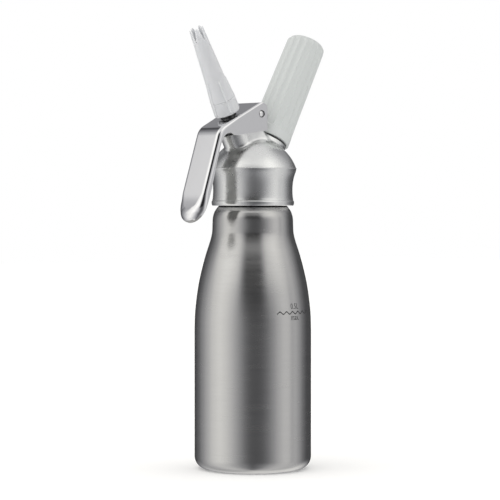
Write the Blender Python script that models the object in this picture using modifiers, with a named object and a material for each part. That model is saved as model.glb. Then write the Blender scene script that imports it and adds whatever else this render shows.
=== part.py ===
"""Whipped cream dispenser: steel bottle, cast head, lever valve, decorator tip and charger holder.

Frame: metres, +Z up, origin at the centre of the bottle's flat base. The tip and the lever lean
towards -X and the charger holder leans towards +X. Y = 0 is the plane of symmetry.
"""
import math

import bmesh
import bpy
from mathutils import Matrix, Vector

# Gaps and cuts
CLEARANCE = 0.0003
THREAD_CLEARANCE = 0.00036
OVERRUN = 0.002
MERGE_DISTANCE = 0.00001

# Threads fade away at both ends, and their grooves run on past them
THREAD_TAPER_SHARE = 0.08
THREAD_END_SHARE = 0.25
NECK_GROOVE_LEAD_TURNS = 0.5
NECK_RELIEF_TURNS = 0.35
INSERT_GROOVE_EXTRA_TURNS = 1.75
LINER_GROOVE_EXTRA_TURNS = 1.25

# Facets round a piece
COARSE_STEPS = 16
FINE_STEPS = 24
BODY_STEPS = 36
SHARP_ANGLE = math.radians(40)

# Bottle
BOTTLE_RADIUS = 0.040
BOTTLE_CORNER_RADIUS = 0.0088
BOTTLE_WALL = 0.0008
STRAIGHT_HEIGHT = 0.0950
SHOULDER_HEIGHT = 0.1609
THROAT_RADIUS = 0.0281
BEAD_BASE_HEIGHT = 0.1715
BEAD_RADIUS = 0.0277
BEAD_HEIGHT = 0.0083
NECK_RADIUS = 0.0228
NECK_WALL = 0.0020
LIP_HEIGHT = 0.1970
SHOULDER_RISE_SHARES = (0.16, 0.32, 0.48, 0.64, 0.79, 0.93)
SHOULDER_INSET_SHARES = (0.025, 0.108, 0.238, 0.430, 0.658, 0.905)

# Thread between bottle and head
NECK_THREAD_PITCH = 0.0040
NECK_THREAD_DEPTH = 0.0012
NECK_THREAD_START = 0.1866
NECK_THREAD_TURNS = 1.75

# Gasket
GASKET_THICKNESS = 0.0022
GASKET_BORE_RADIUS = 0.0209

# Head
COLLAR_BOTTOM = 0.1804
COLLAR_LIP_RADIUS = 0.0283
COLLAR_LIP_HEIGHT = 0.0032
COLLAR_WAIST_RADIUS = 0.0275
COLLAR_WAIST_HEIGHT = 0.0113
RIDGE_HEIGHT = 0.0257
RIDGE_RADIUS = 0.03005
RIDGE_LEDGE = 0.0004
RIDGE_FLARE_SHARES = (0.7, 0.35)
DOME_RADIUS = 0.0315
COLLAR_MOUTH_DEPTH = 0.0056
CAVITY_RADIUS = 0.0210
DOME_WALL = 0.0039
SADDLE_HALF_WIDTH = 0.0100
SADDLE_LUG_RADIUS = 0.0050
SADDLE_FOOT_DEPTH = 0.0240
SADDLE_REAR_RAKE = math.radians(12)
SADDLE_CREST_SHARE = 0.75

# Lever
PIVOT_OFFSET = -0.0024
PIVOT_HEIGHT = 0.2429
PIN_RADIUS = 0.0020
PIN_RECESS = 0.0005
PIN_CROWN_SHARE = 0.6
PIN_CROWN_DROP_SHARE = 0.3
LEVER_TILT = math.radians(26.6)
LEVER_WIDTH = 0.0240
LEVER_SHEET = 0.0015
PLATE_RISE = 0.0074
PLATE_HOLE_RADIUS = 0.00885
PLATE_REACH = 0.0383
FOLD_RADIUS = 0.0110
EAR_CORNER_RADIUS = 0.0050
EAR_REAR_OFFSET = 0.0051
EAR_REAR_DROP = 0.0109
EAR_FRONT_OFFSET = 0.0242
EAR_FRONT_DROP = 0.0151
NOTCH_WIDTH = 0.0090
NOTCH_RISE = 0.0012
HANDLE_BEND = math.radians(45.4)
HANDLE_LENGTH = 0.0654
HANDLE_FLANGE = 0.0055
FOLD_FLANGE = 0.0042
HANDLE_FLARE = 0.0012
HANDLE_STRAIGHT_SHARE = 0.75
FLANGE_STRAIGHT_SHARE = 0.7

# Valve, measured along its axis from the plate's top face
STEM_REACH = 0.0185
FRONT_BOSS_RADIUS = 0.0102
FRONT_BOSS_TOP = -0.0106
SEAT_BOSS_RADIUS = 0.0085
SEAT_BOSS_ROOT_SHARE = 1.1
SEAT_LEVEL = -0.0300
SPRING_WELL_RADIUS = 0.00775
SPRING_WELL_DEPTH = 0.0081
SEAL_POCKET_DEPTH = 0.0024
VALVE_CHAMBER_RADIUS = 0.0060
VALVE_CHAMBER_DEPTH = 0.0060
STEM_RADIUS = 0.0040
STEM_BORE_RADIUS = 0.0025
STEM_FLANGE_RADIUS = 0.0097
STEM_FLANGE_THICKNESS = 0.0025
STEM_FOOT_RADIUS = 0.0020
STEM_FOOT_LENGTH = 0.0070
STEM_PORT_RADIUS = 0.0011
STEM_PORT_RISE = 0.0030
STEM_THREAD_CORE = 0.0046
STEM_TOP = 0.0102
STEM_THREAD_PITCH = 0.0022
STEM_THREAD_DEPTH = 0.0007
STEM_THREAD_START = 0.0042
STEM_THREAD_TURNS = 2.5
O_RING_WIRE_RADIUS = 0.0009
SPRING_WIRE_RADIUS = 0.0007
SPRING_COIL_RADIUS = 0.0062
SPRING_TURNS = 4.5
SPRING_STEPS = 12
SPRING_SEAT_THICKNESS = 0.0010
VALVE_DISC_RADIUS = 0.0076
VALVE_DISC_THICKNESS = 0.0020
VALVE_WASHER_RADIUS = 0.0068
VALVE_WASHER_THICKNESS = 0.0010
VALVE_NUT_RADIUS = 0.0042
VALVE_NUT_THICKNESS = 0.0022
VALVE_NUT_SIDES = 6

# Decorator tip, along the same axis
TIP_BOTTOM = 0.0026
TIP_LENGTH = 0.0624
TIP_BASE_RADIUS = 0.0093
TIP_BAND_TOP_RADIUS = 0.0089
TIP_BAND_HEIGHT = 0.0092
TIP_LIP_RADIUS = 0.0010
TIP_LIP_CHAMFER_SHARE = 0.3
TIP_SEAM_DEPTH = 0.0003
TIP_SEAM_WIDTH = 0.0006
TIP_RIB_TOP_RADIUS = 0.0070
TIP_END_RADIUS = 0.0047
TIP_RIB_HEIGHT = 0.0005
TIP_RIB_COUNT = 5
TIP_RIB_WIDTH_SHARE = 0.3
TIP_RIB_LENGTH = 0.0245
TIP_WALL = 0.0011
TIP_SLOT_COUNT = 5
TIP_SLOT_LENGTH = 0.0086
TIP_SLOT_WIDTH = 0.0030
TIP_SLOT_MOUTH_SHARE = 0.9
TIP_SLOT_FOOT_SHARE = 0.2
TIP_FACETS = 40
TIP_TURN = math.radians(31.6)
INSERT_WALL = 0.0013
INSERT_FOOT = 0.0006
INSERT_TOP = 0.0105
TIP_SEAL_THICKNESS = 0.0012
TIP_SEAL_BORE_RADIUS = 0.0032

# Charger inlet, measured along its axis from the holder's rim
HOLDER_TILT = math.radians(28.2)
HOLDER_OFFSET = 0.0143
HOLDER_RIM_HEIGHT = 0.2255
REAR_BOSS_RADIUS = 0.0130
REAR_BOSS_TOP = -0.0009
INLET_BOSS_RADIUS = 0.0072
INLET_BOSS_ROOT_SHARE = 0.8
INLET_BOSS_BOTTOM = -0.0088
STUD_CORE_RADIUS = 0.0098
STUD_TOP = 0.0130
STUD_THREAD_PITCH = 0.0030
STUD_THREAD_DEPTH = 0.0010
STUD_THREAD_START = 0.0040
STUD_THREAD_TURNS = 2.5
NECK_POCKET_RADIUS = 0.0047
NECK_POCKET_BOTTOM = 0.0076
PIN_POCKET_RADIUS = 0.0034
PIN_POCKET_BOTTOM = 0.0025
GAS_PASSAGE_RADIUS = 0.0015
PIERCING_BASE_LENGTH = 0.0044
PIERCING_NEEDLE_RADIUS = 0.0010
PIERCING_TIP_RADIUS = 0.0007
PIERCING_BORE_RADIUS = 0.0004
PIERCING_TOP = 0.0120
CHARGER_SEAL_THICKNESS = 0.0015
CHECK_RECESS_RADIUS = 0.0050
CHECK_RECESS_DEPTH = 0.0036
CHECK_DISC_RADIUS = 0.0034
CHECK_DISC_THICKNESS = 0.0009
CHECK_STALK_SHARE = 0.6
RETAINER_THICKNESS = 0.0020
RETAINER_BORE_RADIUS = 0.0018

# Charger
CHARGER_RADIUS = 0.0090
CHARGER_LENGTH = 0.0650
CHARGER_NECK_RADIUS = 0.0043
CHARGER_NECK_LENGTH = 0.0070
CHARGER_SHOULDER_LENGTH = 0.0085
CHARGER_SHOULDER_SHARES = (0.75, 0.5, 0.25)
CHARGER_DOME_LENGTH = 0.0086
CHARGER_WALL = 0.0014
CHARGER_PIERCING_RADIUS = 0.0015

# Charger holder
HOLDER_LENGTH = 0.0780
HOLDER_RIM_RADIUS = 0.0146
HOLDER_END_RADIUS = 0.0136
HOLDER_EDGE_RADIUS = 0.0050
HOLDER_RIM_ROUNDING = 0.0010
HOLDER_BAND = 0.0062
HOLDER_TURN = math.radians(8.8)
FLUTE_COUNT = 18
FLUTE_DEPTH = 0.0005
FLUTE_RUNOUT = 0.0016
FACETS_PER_FLUTE = 2
LINER_WALL = 0.0012
LINER_THREAD_WALL = 0.0025
LINER_THREAD_TOP = 0.0140
LINER_MOUTH_DEPTH = 0.0026
PAD_RADIUS = 0.0060
PAD_THICKNESS = 0.0012

PARTS = "whipped_cream_dispenser"
CUTTERS = "cutters"


def start_scene():
    """Empties the scene and returns the collections for the parts and for the cutters."""
    for old in list(bpy.data.objects):
        bpy.data.objects.remove(old, do_unlink=True)
    collections = []
    for name in (PARTS, CUTTERS):
        collection = bpy.data.collections.new(name)
        bpy.context.scene.collection.children.link(collection)
        collections.append(collection)
    return collections


def material(name, colour, roughness, metallic):
    """A Principled material with one colour."""
    made = bpy.data.materials.new(name)
    made.use_nodes = True
    shader = made.node_tree.nodes["Principled BSDF"]
    shader.inputs["Base Color"].default_value = (*colour, 1.0)
    shader.inputs["Roughness"].default_value = roughness
    shader.inputs["Metallic"].default_value = metallic
    return made


def place(thing, collection, parent=None):
    """Links an object and hangs it on its axis."""
    collection.objects.link(thing)
    thing.parent = parent
    return thing


def axis_empty(name, location, tilt, collection, parent=None):
    """An empty whose local +Z is the axis of the pieces that hang on it."""
    empty = bpy.data.objects.new(name, None)
    empty.location = location
    empty.rotation_euler = (0, tilt, 0)
    return place(empty, collection, parent)


def evaluated_mesh(thing):
    """The object's mesh with its modifiers applied."""
    bpy.context.view_layer.update()
    graph = bpy.context.evaluated_depsgraph_get()
    return bpy.data.meshes.new_from_object(thing.evaluated_get(graph))


def bake(thing):
    """Applies an object's modifiers to its mesh."""
    mesh = evaluated_mesh(thing)
    thing.modifiers.clear()
    thing.data = mesh
    return thing


def shade(thing):
    """Smooth shading with sharp edges kept."""
    thing.data.shade_smooth()
    thing.data.set_sharp_from_angle(angle=SHARP_ANGLE)
    return thing


def turned(name, outline, collection, parent=None, steps=FINE_STEPS, closed=False):
    """Turns an outline of (radius, height) points, listed down the outer side, round local Z."""
    mesh = bpy.data.meshes.new(name)
    vertices = [(radius, 0, height) for radius, height in outline]
    edges = [(i, i + 1) for i in range(len(vertices) - 1)]
    if closed:
        edges.append((len(vertices) - 1, 0))
    mesh.from_pydata(vertices, edges, [])
    thing = place(bpy.data.objects.new(name, mesh), collection, parent)
    screw = thing.modifiers.new("turn", "SCREW")
    screw.steps = steps
    screw.render_steps = steps
    screw.use_merge_vertices = True
    screw.merge_threshold = MERGE_DISTANCE
    return shade(bake(thing))


def ring(name, inner, outer, bottom, top, collection, parent=None, steps=FINE_STEPS):
    """A flat ring, washer or tube with square edges."""
    outline = [(outer, top), (outer, bottom), (inner, bottom), (inner, top)]
    return turned(name, outline, collection, parent, steps, closed=True)


def rod(name, radius, bottom, top, collection, parent=None, steps=FINE_STEPS):
    """A plain cylinder along local Z."""
    return turned(name, [(0, top), (radius, top), (radius, bottom), (0, bottom)], collection, parent, steps)


def arc(centre, radius_x, radius_y, start, end, count):
    """Points on an arc, from one angle to another, both ends included."""
    points = []
    for i in range(count + 1):
        angle = start + (end - start) * i / count
        points.append((centre[0] + radius_x * math.cos(angle), centre[1] + radius_y * math.sin(angle)))
    return points


def rounded(corner, before, after, radius, count):
    """Points that round one corner of an outline, in order from before to after."""
    corner, before, after = Vector(corner), Vector(before), Vector(after)
    back = (before - corner).normalized()
    ahead = (after - corner).normalized()
    half = back.angle(ahead) / 2
    centre = corner + (back + ahead).normalized() * radius / math.sin(half)
    first = corner + back * radius / math.tan(half) - centre
    last = corner + ahead * radius / math.tan(half) - centre
    sweep = first.angle_signed(last)
    points = []
    for i in range(count + 1):
        turn = Matrix.Rotation(-sweep * i / count, 2)
        points.append(tuple(centre + turn @ first))
    return points


def inset(outline, distance):
    """The outline moved inwards, square to itself, as a wall of constant thickness."""
    moved = []
    for i, point in enumerate(outline):
        before = Vector(outline[max(i - 1, 0)])
        after = Vector(outline[min(i + 1, len(outline) - 1)])
        along = (after - before).normalized()
        moved.append((point[0] + along.y * distance, point[1] - along.x * distance))
    return moved


def extruded(name, outline, half_width, collection, parent=None):
    """A flat outline of local (x, z) points, made solid by the same half width to both sides of y = 0."""
    curve = bpy.data.curves.new(name, "CURVE")
    curve.dimensions = "2D"
    curve.fill_mode = "BOTH"
    curve.extrude = half_width
    spline = curve.splines.new("POLY")
    spline.points.add(len(outline) - 1)
    for point, (x, z) in zip(spline.points, outline):
        point.co = (x, z, 0, 1)
    spline.use_cyclic_u = True
    flat = place(bpy.data.objects.new(name, curve), collection, parent)
    flat.rotation_euler = (math.pi / 2, 0, 0)
    return curve_to_mesh(flat, collection)


def curve_to_mesh(source, collection):
    """Replaces a curve object by a closed mesh object in the same place."""
    name = source.name
    mesh = evaluated_mesh(source)
    mesh.transform(source.matrix_local)
    parent = source.parent
    bpy.data.objects.remove(source, do_unlink=True)
    shell = bmesh.new()
    shell.from_mesh(mesh)
    bmesh.ops.remove_doubles(shell, verts=shell.verts, dist=MERGE_DISTANCE)
    bmesh.ops.recalc_face_normals(shell, faces=shell.faces)
    shell.to_mesh(mesh)
    shell.free()
    made = bpy.data.objects.new(name, mesh)
    return place(made, collection, parent)


def helix(name, radius, wire_radius, start, pitch, turns, collection, parent=None, steps=FINE_STEPS,
          taper_share=0.0, sides_level=0):
    """A tube wound round local Z, which may fade away at both ends."""
    curve = bpy.data.curves.new(name, "CURVE")
    curve.dimensions = "3D"
    curve.bevel_depth = wire_radius
    curve.bevel_resolution = sides_level
    curve.twist_mode = "Z_UP"
    curve.use_fill_caps = True
    count = round(steps * turns)
    spline = curve.splines.new("POLY")
    spline.points.add(count)
    for i, point in enumerate(spline.points):
        angle = 2 * math.pi * turns * i / count
        height = start + pitch * turns * i / count
        point.co = (radius * math.cos(angle), radius * math.sin(angle), height, 1)
        end_share = min(i, count - i) / count
        point.radius = 1.0
        if end_share < taper_share:
            point.radius = THREAD_END_SHARE + (1 - THREAD_END_SHARE) * end_share / taper_share
    return curve_to_mesh(place(bpy.data.objects.new(name, curve), collection, parent), collection)


def combine(target, tools, operation, cutters):
    """Joins tools to a piece, or cuts them from it, and keeps them as hidden guides."""
    for tool in tools:
        modifier = target.modifiers.new(tool.name, "BOOLEAN")
        modifier.operation = operation
        modifier.object = tool
        modifier.solver = "EXACT"
    bake(target)
    for tool in tools:
        for holder in list(tool.users_collection):
            holder.objects.unlink(tool)
        cutters.objects.link(tool)
        tool.hide_render = True
        tool.display_type = "WIRE"
    return target


def tidy(piece):
    """Joins the points and flattens the slivers that a cut leaves."""
    shell = bmesh.new()
    shell.from_mesh(piece.data)
    bmesh.ops.remove_doubles(shell, verts=shell.verts, dist=MERGE_DISTANCE)
    bmesh.ops.dissolve_degenerate(shell, edges=shell.edges, dist=MERGE_DISTANCE)
    shell.to_mesh(piece.data)
    shell.free()
    return shade(piece)


def bottle_outline():
    """Outer side of the bottle, from the neck's lip down to the middle of the base."""
    outline = [(NECK_RADIUS, LIP_HEIGHT)]
    bead_centre = (NECK_RADIUS, BEAD_BASE_HEIGHT)
    outline += arc(bead_centre, BEAD_RADIUS - NECK_RADIUS, BEAD_HEIGHT, math.pi / 2, 0, 4)
    outline.append((THROAT_RADIUS, SHOULDER_HEIGHT))
    rise = SHOULDER_HEIGHT - STRAIGHT_HEIGHT
    swell = BOTTLE_RADIUS - THROAT_RADIUS
    for rise_share, inset_share in zip(reversed(SHOULDER_RISE_SHARES), reversed(SHOULDER_INSET_SHARES)):
        outline.append((BOTTLE_RADIUS - swell * inset_share, STRAIGHT_HEIGHT + rise * rise_share))
    outline.append((BOTTLE_RADIUS, STRAIGHT_HEIGHT))
    corner = (BOTTLE_RADIUS - BOTTLE_CORNER_RADIUS, BOTTLE_CORNER_RADIUS)
    outline += arc(corner, BOTTLE_CORNER_RADIUS, BOTTLE_CORNER_RADIUS, 0, -math.pi / 2, 4)
    return outline


def make_bottle(parts, cutters):
    """Thin bottle with a thicker threaded neck."""
    outer = bottle_outline()
    wall = inset(outer[2:], BOTTLE_WALL)
    neck_bore = NECK_RADIUS - NECK_WALL
    inner = [(0, BOTTLE_WALL)] + list(reversed(wall))
    neck = [(neck_bore, BEAD_BASE_HEIGHT + BEAD_HEIGHT - NECK_WALL), (neck_bore, LIP_HEIGHT)]
    bottle = turned("bottle", inner + neck + outer + [(0, 0)], parts, steps=BODY_STEPS)
    thread = helix("neck_thread", NECK_RADIUS, NECK_THREAD_DEPTH, NECK_THREAD_START, NECK_THREAD_PITCH,
                   NECK_THREAD_TURNS, parts, steps=FINE_STEPS, taper_share=THREAD_TAPER_SHARE)
    return tidy(combine(bottle, [thread], "UNION", cutters))


def gasket_top():
    """Height of the gasket's upper face above the bottle's lip."""
    return LIP_HEIGHT + CLEARANCE + GASKET_THICKNESS


def gasket_bore_outer():
    """Radius of the relief in the collar that holds the gasket."""
    return NECK_RADIUS + NECK_THREAD_DEPTH + 2 * THREAD_CLEARANCE


def make_gasket(parts):
    """Flat rubber ring on the bottle's lip."""
    outer = gasket_bore_outer() - CLEARANCE
    return ring("head_gasket", GASKET_BORE_RADIUS, outer, LIP_HEIGHT + CLEARANCE, gasket_top(), parts,
                steps=BODY_STEPS)


def head_outline(dome_centre):
    """Outer side of collar and dome, from the dome's top down to the collar's lower lip."""
    ridge = COLLAR_BOTTOM + RIDGE_HEIGHT
    dome_foot = RIDGE_RADIUS - RIDGE_LEDGE
    foot_angle = math.acos(dome_foot / DOME_RADIUS)
    outline = arc((0, dome_centre), DOME_RADIUS, DOME_RADIUS, math.pi / 2, foot_angle, 7)
    outline += [(RIDGE_RADIUS, ridge - RIDGE_LEDGE)]
    waist = COLLAR_BOTTOM + COLLAR_WAIST_HEIGHT
    flare = ridge - RIDGE_LEDGE - waist
    swell = RIDGE_RADIUS - COLLAR_WAIST_RADIUS
    for share in RIDGE_FLARE_SHARES:
        outline.append((COLLAR_WAIST_RADIUS + swell * share * share, waist + flare * share))
    outline.append((COLLAR_WAIST_RADIUS, waist))
    outline.append((COLLAR_WAIST_RADIUS, COLLAR_BOTTOM + COLLAR_LIP_HEIGHT + RIDGE_LEDGE))
    outline.append((COLLAR_LIP_RADIUS, COLLAR_BOTTOM + COLLAR_LIP_HEIGHT - RIDGE_LEDGE))
    outline.append((COLLAR_LIP_RADIUS, COLLAR_BOTTOM))
    return outline


def saddle_outline():
    """Side view of the saddle between the ears, round the pivot, in lever coordinates."""
    lug = SADDLE_LUG_RADIUS
    foot = SADDLE_FOOT_DEPTH
    boss_rear = FRONT_BOSS_RADIUS - STEM_REACH
    boss_top = PLATE_RISE + FRONT_BOSS_TOP
    rear_tangent = -LEVER_TILT - SADDLE_REAR_RAKE
    front_tangent = math.pi - math.atan2(lug - boss_top, boss_rear)
    outline = arc((0, 0), lug, lug, rear_tangent, front_tangent * SADDLE_CREST_SHARE, 8)
    outline += [(boss_rear, boss_top), (-STEM_REACH, boss_top - lug), (-STEM_REACH, -foot)]
    outline += [(-lug, -foot - lug)]
    tail = Vector((lug, 0))
    tail.rotate(Matrix.Rotation(rear_tangent, 2))
    down = Vector((math.sin(rear_tangent), -math.cos(rear_tangent)))
    outline.append(tuple(tail + down * foot))
    return outline


def make_head(parts, cutters, pivot, nozzle, inlet):
    """Casting with collar, dome, saddle, valve boss and charger stud, all bored out."""
    ridge = COLLAR_BOTTOM + RIDGE_HEIGHT
    dome_foot = RIDGE_RADIUS - RIDGE_LEDGE
    dome_centre = ridge - math.sqrt(DOME_RADIUS ** 2 - dome_foot ** 2)
    outline = head_outline(dome_centre) + [(0, COLLAR_BOTTOM)]
    head = turned("head", outline, parts, steps=BODY_STEPS)
    saddle = extruded("saddle", saddle_outline(), SADDLE_HALF_WIDTH, parts, pivot)
    front_boss = rod("front_boss", FRONT_BOSS_RADIUS, SEAT_LEVEL, FRONT_BOSS_TOP, parts, nozzle)
    rear_boss = rod("rear_boss", REAR_BOSS_RADIUS, INLET_BOSS_BOTTOM, REAR_BOSS_TOP, parts, inlet)
    combine(head, [saddle, front_boss, rear_boss], "UNION", cutters)

    cavity_ball = DOME_RADIUS - DOME_WALL
    seat = gasket_top() + CLEARANCE
    relief = gasket_bore_outer()
    thread_bore = NECK_RADIUS + CLEARANCE
    top_angle = math.acos(CAVITY_RADIUS / cavity_ball)
    cavity = arc((0, dome_centre), cavity_ball, cavity_ball, math.pi / 2, top_angle, 3)
    cavity += [(CAVITY_RADIUS, seat), (relief, seat)]
    thread_end = NECK_THREAD_START + NECK_THREAD_PITCH * (NECK_THREAD_TURNS + NECK_RELIEF_TURNS)
    cavity += [(relief, thread_end), (thread_bore, thread_end)]
    mouth_top = COLLAR_BOTTOM + COLLAR_MOUTH_DEPTH
    cavity += [(thread_bore, mouth_top), (relief, mouth_top)]
    cavity += [(relief, COLLAR_BOTTOM - OVERRUN), (0, COLLAR_BOTTOM - OVERRUN)]
    cutter = turned("cavity", cavity, parts, steps=BODY_STEPS)
    lead = NECK_GROOVE_LEAD_TURNS
    groove = helix("neck_groove", NECK_RADIUS, NECK_THREAD_DEPTH + THREAD_CLEARANCE,
                   NECK_THREAD_START - NECK_THREAD_PITCH * lead, NECK_THREAD_PITCH,
                   NECK_THREAD_TURNS + 2 * lead, parts, steps=FINE_STEPS)
    groove.data.transform(Matrix.Rotation(-2 * math.pi * lead, 4, "Z"))
    combine(head, [cutter, groove], "DIFFERENCE", cutters)

    boss_root = SEAT_LEVEL + SEAT_BOSS_RADIUS * SEAT_BOSS_ROOT_SHARE
    seat_boss = rod("seat_boss", SEAT_BOSS_RADIUS, SEAT_LEVEL, boss_root, parts, nozzle)
    inlet_root = INLET_BOSS_BOTTOM + INLET_BOSS_RADIUS * INLET_BOSS_ROOT_SHARE
    inlet_boss = rod("inlet_boss", INLET_BOSS_RADIUS, INLET_BOSS_BOTTOM, inlet_root, parts, inlet)
    stud = rod("stud", STUD_CORE_RADIUS, REAR_BOSS_TOP - OVERRUN, STUD_TOP, parts, inlet)
    stud_thread = helix("stud_thread", STUD_CORE_RADIUS, STUD_THREAD_DEPTH, STUD_THREAD_START,
                        STUD_THREAD_PITCH, STUD_THREAD_TURNS, parts, inlet, COARSE_STEPS,
                        taper_share=THREAD_TAPER_SHARE)
    combine(head, [seat_boss, inlet_boss, stud, stud_thread], "UNION", cutters)

    well_floor = FRONT_BOSS_TOP - SPRING_WELL_DEPTH
    pocket_floor = well_floor - SEAL_POCKET_DEPTH
    guide = STEM_RADIUS + CLEARANCE
    pocket = STEM_RADIUS + 2 * O_RING_WIRE_RADIUS + 2 * CLEARANCE
    chamber_top = SEAT_LEVEL + VALVE_CHAMBER_DEPTH
    valve = [(0, FRONT_BOSS_TOP + OVERRUN), (SPRING_WELL_RADIUS, FRONT_BOSS_TOP + OVERRUN)]
    valve += [(SPRING_WELL_RADIUS, well_floor), (pocket, well_floor), (pocket, pocket_floor)]
    valve += [(guide, pocket_floor), (guide, chamber_top), (VALVE_CHAMBER_RADIUS, chamber_top)]
    valve += [(VALVE_CHAMBER_RADIUS, SEAT_LEVEL - OVERRUN), (0, SEAT_LEVEL - OVERRUN)]
    valve_bore = turned("valve_bore", valve, parts, nozzle)
    recess_top = INLET_BOSS_BOTTOM + CHECK_RECESS_DEPTH
    gas = [(0, STUD_TOP + OVERRUN), (NECK_POCKET_RADIUS, STUD_TOP + OVERRUN)]
    gas += [(NECK_POCKET_RADIUS, NECK_POCKET_BOTTOM), (PIN_POCKET_RADIUS, NECK_POCKET_BOTTOM)]
    gas += [(PIN_POCKET_RADIUS, PIN_POCKET_BOTTOM), (GAS_PASSAGE_RADIUS, PIN_POCKET_BOTTOM)]
    gas += [(GAS_PASSAGE_RADIUS, recess_top), (CHECK_RECESS_RADIUS, recess_top)]
    gas += [(CHECK_RECESS_RADIUS, INLET_BOSS_BOTTOM - OVERRUN), (0, INLET_BOSS_BOTTOM - OVERRUN)]
    gas_bore = turned("gas_bore", gas, parts, inlet, COARSE_STEPS)
    pin_hole = cross_rod("pin_hole", PIN_RADIUS + CLEARANCE, SADDLE_HALF_WIDTH + OVERRUN, parts, pivot)
    combine(head, [valve_bore, gas_bore, pin_hole], "DIFFERENCE", cutters)
    return tidy(head)


def cross_rod(name, radius, half_length, collection, parent):
    """A cylinder along local Y, with its middle on the local origin."""
    made = rod(name, radius, -half_length, half_length, collection, parent, COARSE_STEPS)
    made.data.transform(Matrix.Rotation(math.pi / 2, 4, "X"))
    return made


def make_pivot_pin(parts, pivot):
    """Cross pin with slightly domed ends, just inside the ears' outer faces."""
    half = LEVER_WIDTH / 2 - PIN_RECESS
    crown = PIN_RADIUS * PIN_CROWN_SHARE
    outline = [(0, half), (crown, half - PIN_RECESS * PIN_CROWN_DROP_SHARE), (PIN_RADIUS, half - PIN_RECESS)]
    outline += [(radius, -height) for radius, height in reversed(outline)]
    pin = turned("lever_pivot_pin", outline, parts, pivot, COARSE_STEPS)
    pin.data.transform(Matrix.Rotation(math.pi / 2, 4, "X"))
    return pin


def handle_point(distance, depth):
    """Point on the handle: distance down from the fold's corner, and depth in from its outer face."""
    along = Vector((-math.cos(HANDLE_BEND), -math.sin(HANDLE_BEND)))
    inward = Vector((math.sin(HANDLE_BEND), -math.cos(HANDLE_BEND)))
    point = Vector((-PLATE_REACH, PLATE_RISE)) + along * distance + inward * depth
    return tuple(point)


def upright_point(forward, drop):
    """Point given level and plumb from the pivot, in lever coordinates."""
    cosine, sine = math.cos(LEVER_TILT), math.sin(LEVER_TILT)
    return -forward * cosine - drop * sine, forward * sine - drop * cosine


def lever_tail():
    """Corner where the plate's top meets the plumb rear edge of the ears."""
    return (EAR_REAR_OFFSET + PLATE_RISE * math.sin(LEVER_TILT)) / math.cos(LEVER_TILT), PLATE_RISE


def lever_outline():
    """Side view of the lever's outer solid, with its ears and handle flanges."""
    corner = (-PLATE_REACH, PLATE_RISE)
    end = handle_point(HANDLE_LENGTH, -HANDLE_FLARE)
    outline = rounded(corner, lever_tail(), end, FOLD_RADIUS, 6)
    outline.append(handle_point(HANDLE_LENGTH * HANDLE_STRAIGHT_SHARE, 0))
    outline.append(end)
    outline.append(handle_point(HANDLE_LENGTH, HANDLE_FLANGE - HANDLE_FLARE))
    outline.append(handle_point(HANDLE_LENGTH * FLANGE_STRAIGHT_SHARE, HANDLE_FLANGE))
    outline.append(handle_point(FOLD_RADIUS, FOLD_FLANGE))
    notch_front = EAR_FRONT_OFFSET + NOTCH_WIDTH
    outline.append(upright_point(notch_front, EAR_FRONT_DROP + NOTCH_RISE / 2))
    notch_middle = EAR_FRONT_OFFSET + NOTCH_WIDTH / 2
    outline.append(upright_point(notch_middle, EAR_FRONT_DROP - NOTCH_RISE))
    outline.append(upright_point(EAR_FRONT_OFFSET, EAR_FRONT_DROP))
    rear_low = upright_point(-EAR_REAR_OFFSET, EAR_REAR_DROP)
    outline.append(rear_low)
    outline += rounded(lever_tail(), rear_low, corner, EAR_CORNER_RADIUS, 5)
    return outline


def make_lever(parts, cutters, pivot, nozzle):
    """Folded sheet lever: top plate, two ears, flanged handle with a round end."""
    half = LEVER_WIDTH / 2
    lever = extruded("lever", lever_outline(), half, parts, pivot)
    bend = extruded("lever_inside", lever_inside(), half - LEVER_SHEET, parts, pivot)
    inner_end = tongue("lever_inside_end", half - LEVER_SHEET, HANDLE_LENGTH - LEVER_SHEET, parts, pivot)
    combine(bend, [inner_end], "INTERSECT", cutters)
    outer_end = tongue("lever_end", half, HANDLE_LENGTH, parts, pivot)
    combine(lever, [outer_end], "INTERSECT", cutters)
    pin_hole = cross_rod("ear_holes", PIN_RADIUS + CLEARANCE, half + OVERRUN, parts, pivot)
    stem_hole = rod("stem_hole", PLATE_HOLE_RADIUS, -LEVER_SHEET - OVERRUN, OVERRUN, parts, nozzle)
    combine(lever, [bend, pin_hole, stem_hole], "DIFFERENCE", cutters)
    return tidy(lever)


def lever_inside():
    """Side view of the space inside the folded sheet, open at the back and below."""
    tail = (lever_tail()[0] + OVERRUN, PLATE_RISE - LEVER_SHEET)
    bend_shift = LEVER_SHEET * math.tan(HANDLE_BEND / 2)
    corner = (-PLATE_REACH + bend_shift, PLATE_RISE - LEVER_SHEET)
    past_end = handle_point(HANDLE_LENGTH + OVERRUN, LEVER_SHEET - HANDLE_FLARE)
    outline = rounded(corner, tail, past_end, FOLD_RADIUS - LEVER_SHEET, 5)
    outline.append(handle_point(HANDLE_LENGTH * HANDLE_STRAIGHT_SHARE, LEVER_SHEET))
    outline.append(past_end)
    outline.append(handle_point(HANDLE_LENGTH + OVERRUN, 2 * HANDLE_FLANGE))
    outline.append((-EAR_FRONT_OFFSET, -PLATE_REACH))
    outline.append((tail[0], -PLATE_REACH))
    outline.append(tail)
    return outline


def tongue(name, half_width, length, parts, pivot):
    """A round-ended block square to the handle's face, used to round the lever's free end."""
    far = PLATE_REACH * 2
    outline = [(-half_width, far), (half_width, far)]
    outline += arc((0, half_width - length), half_width, half_width, 0, -math.pi, 12)
    block = extruded(name, outline, far, parts, pivot)
    turn = Matrix.Rotation(math.pi / 2 - HANDLE_BEND, 4, "Y") @ Matrix.Rotation(math.pi / 2, 4, "Z")
    block.data.transform(Matrix.Translation((-PLATE_REACH, 0, PLATE_RISE)) @ turn)
    return block


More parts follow.
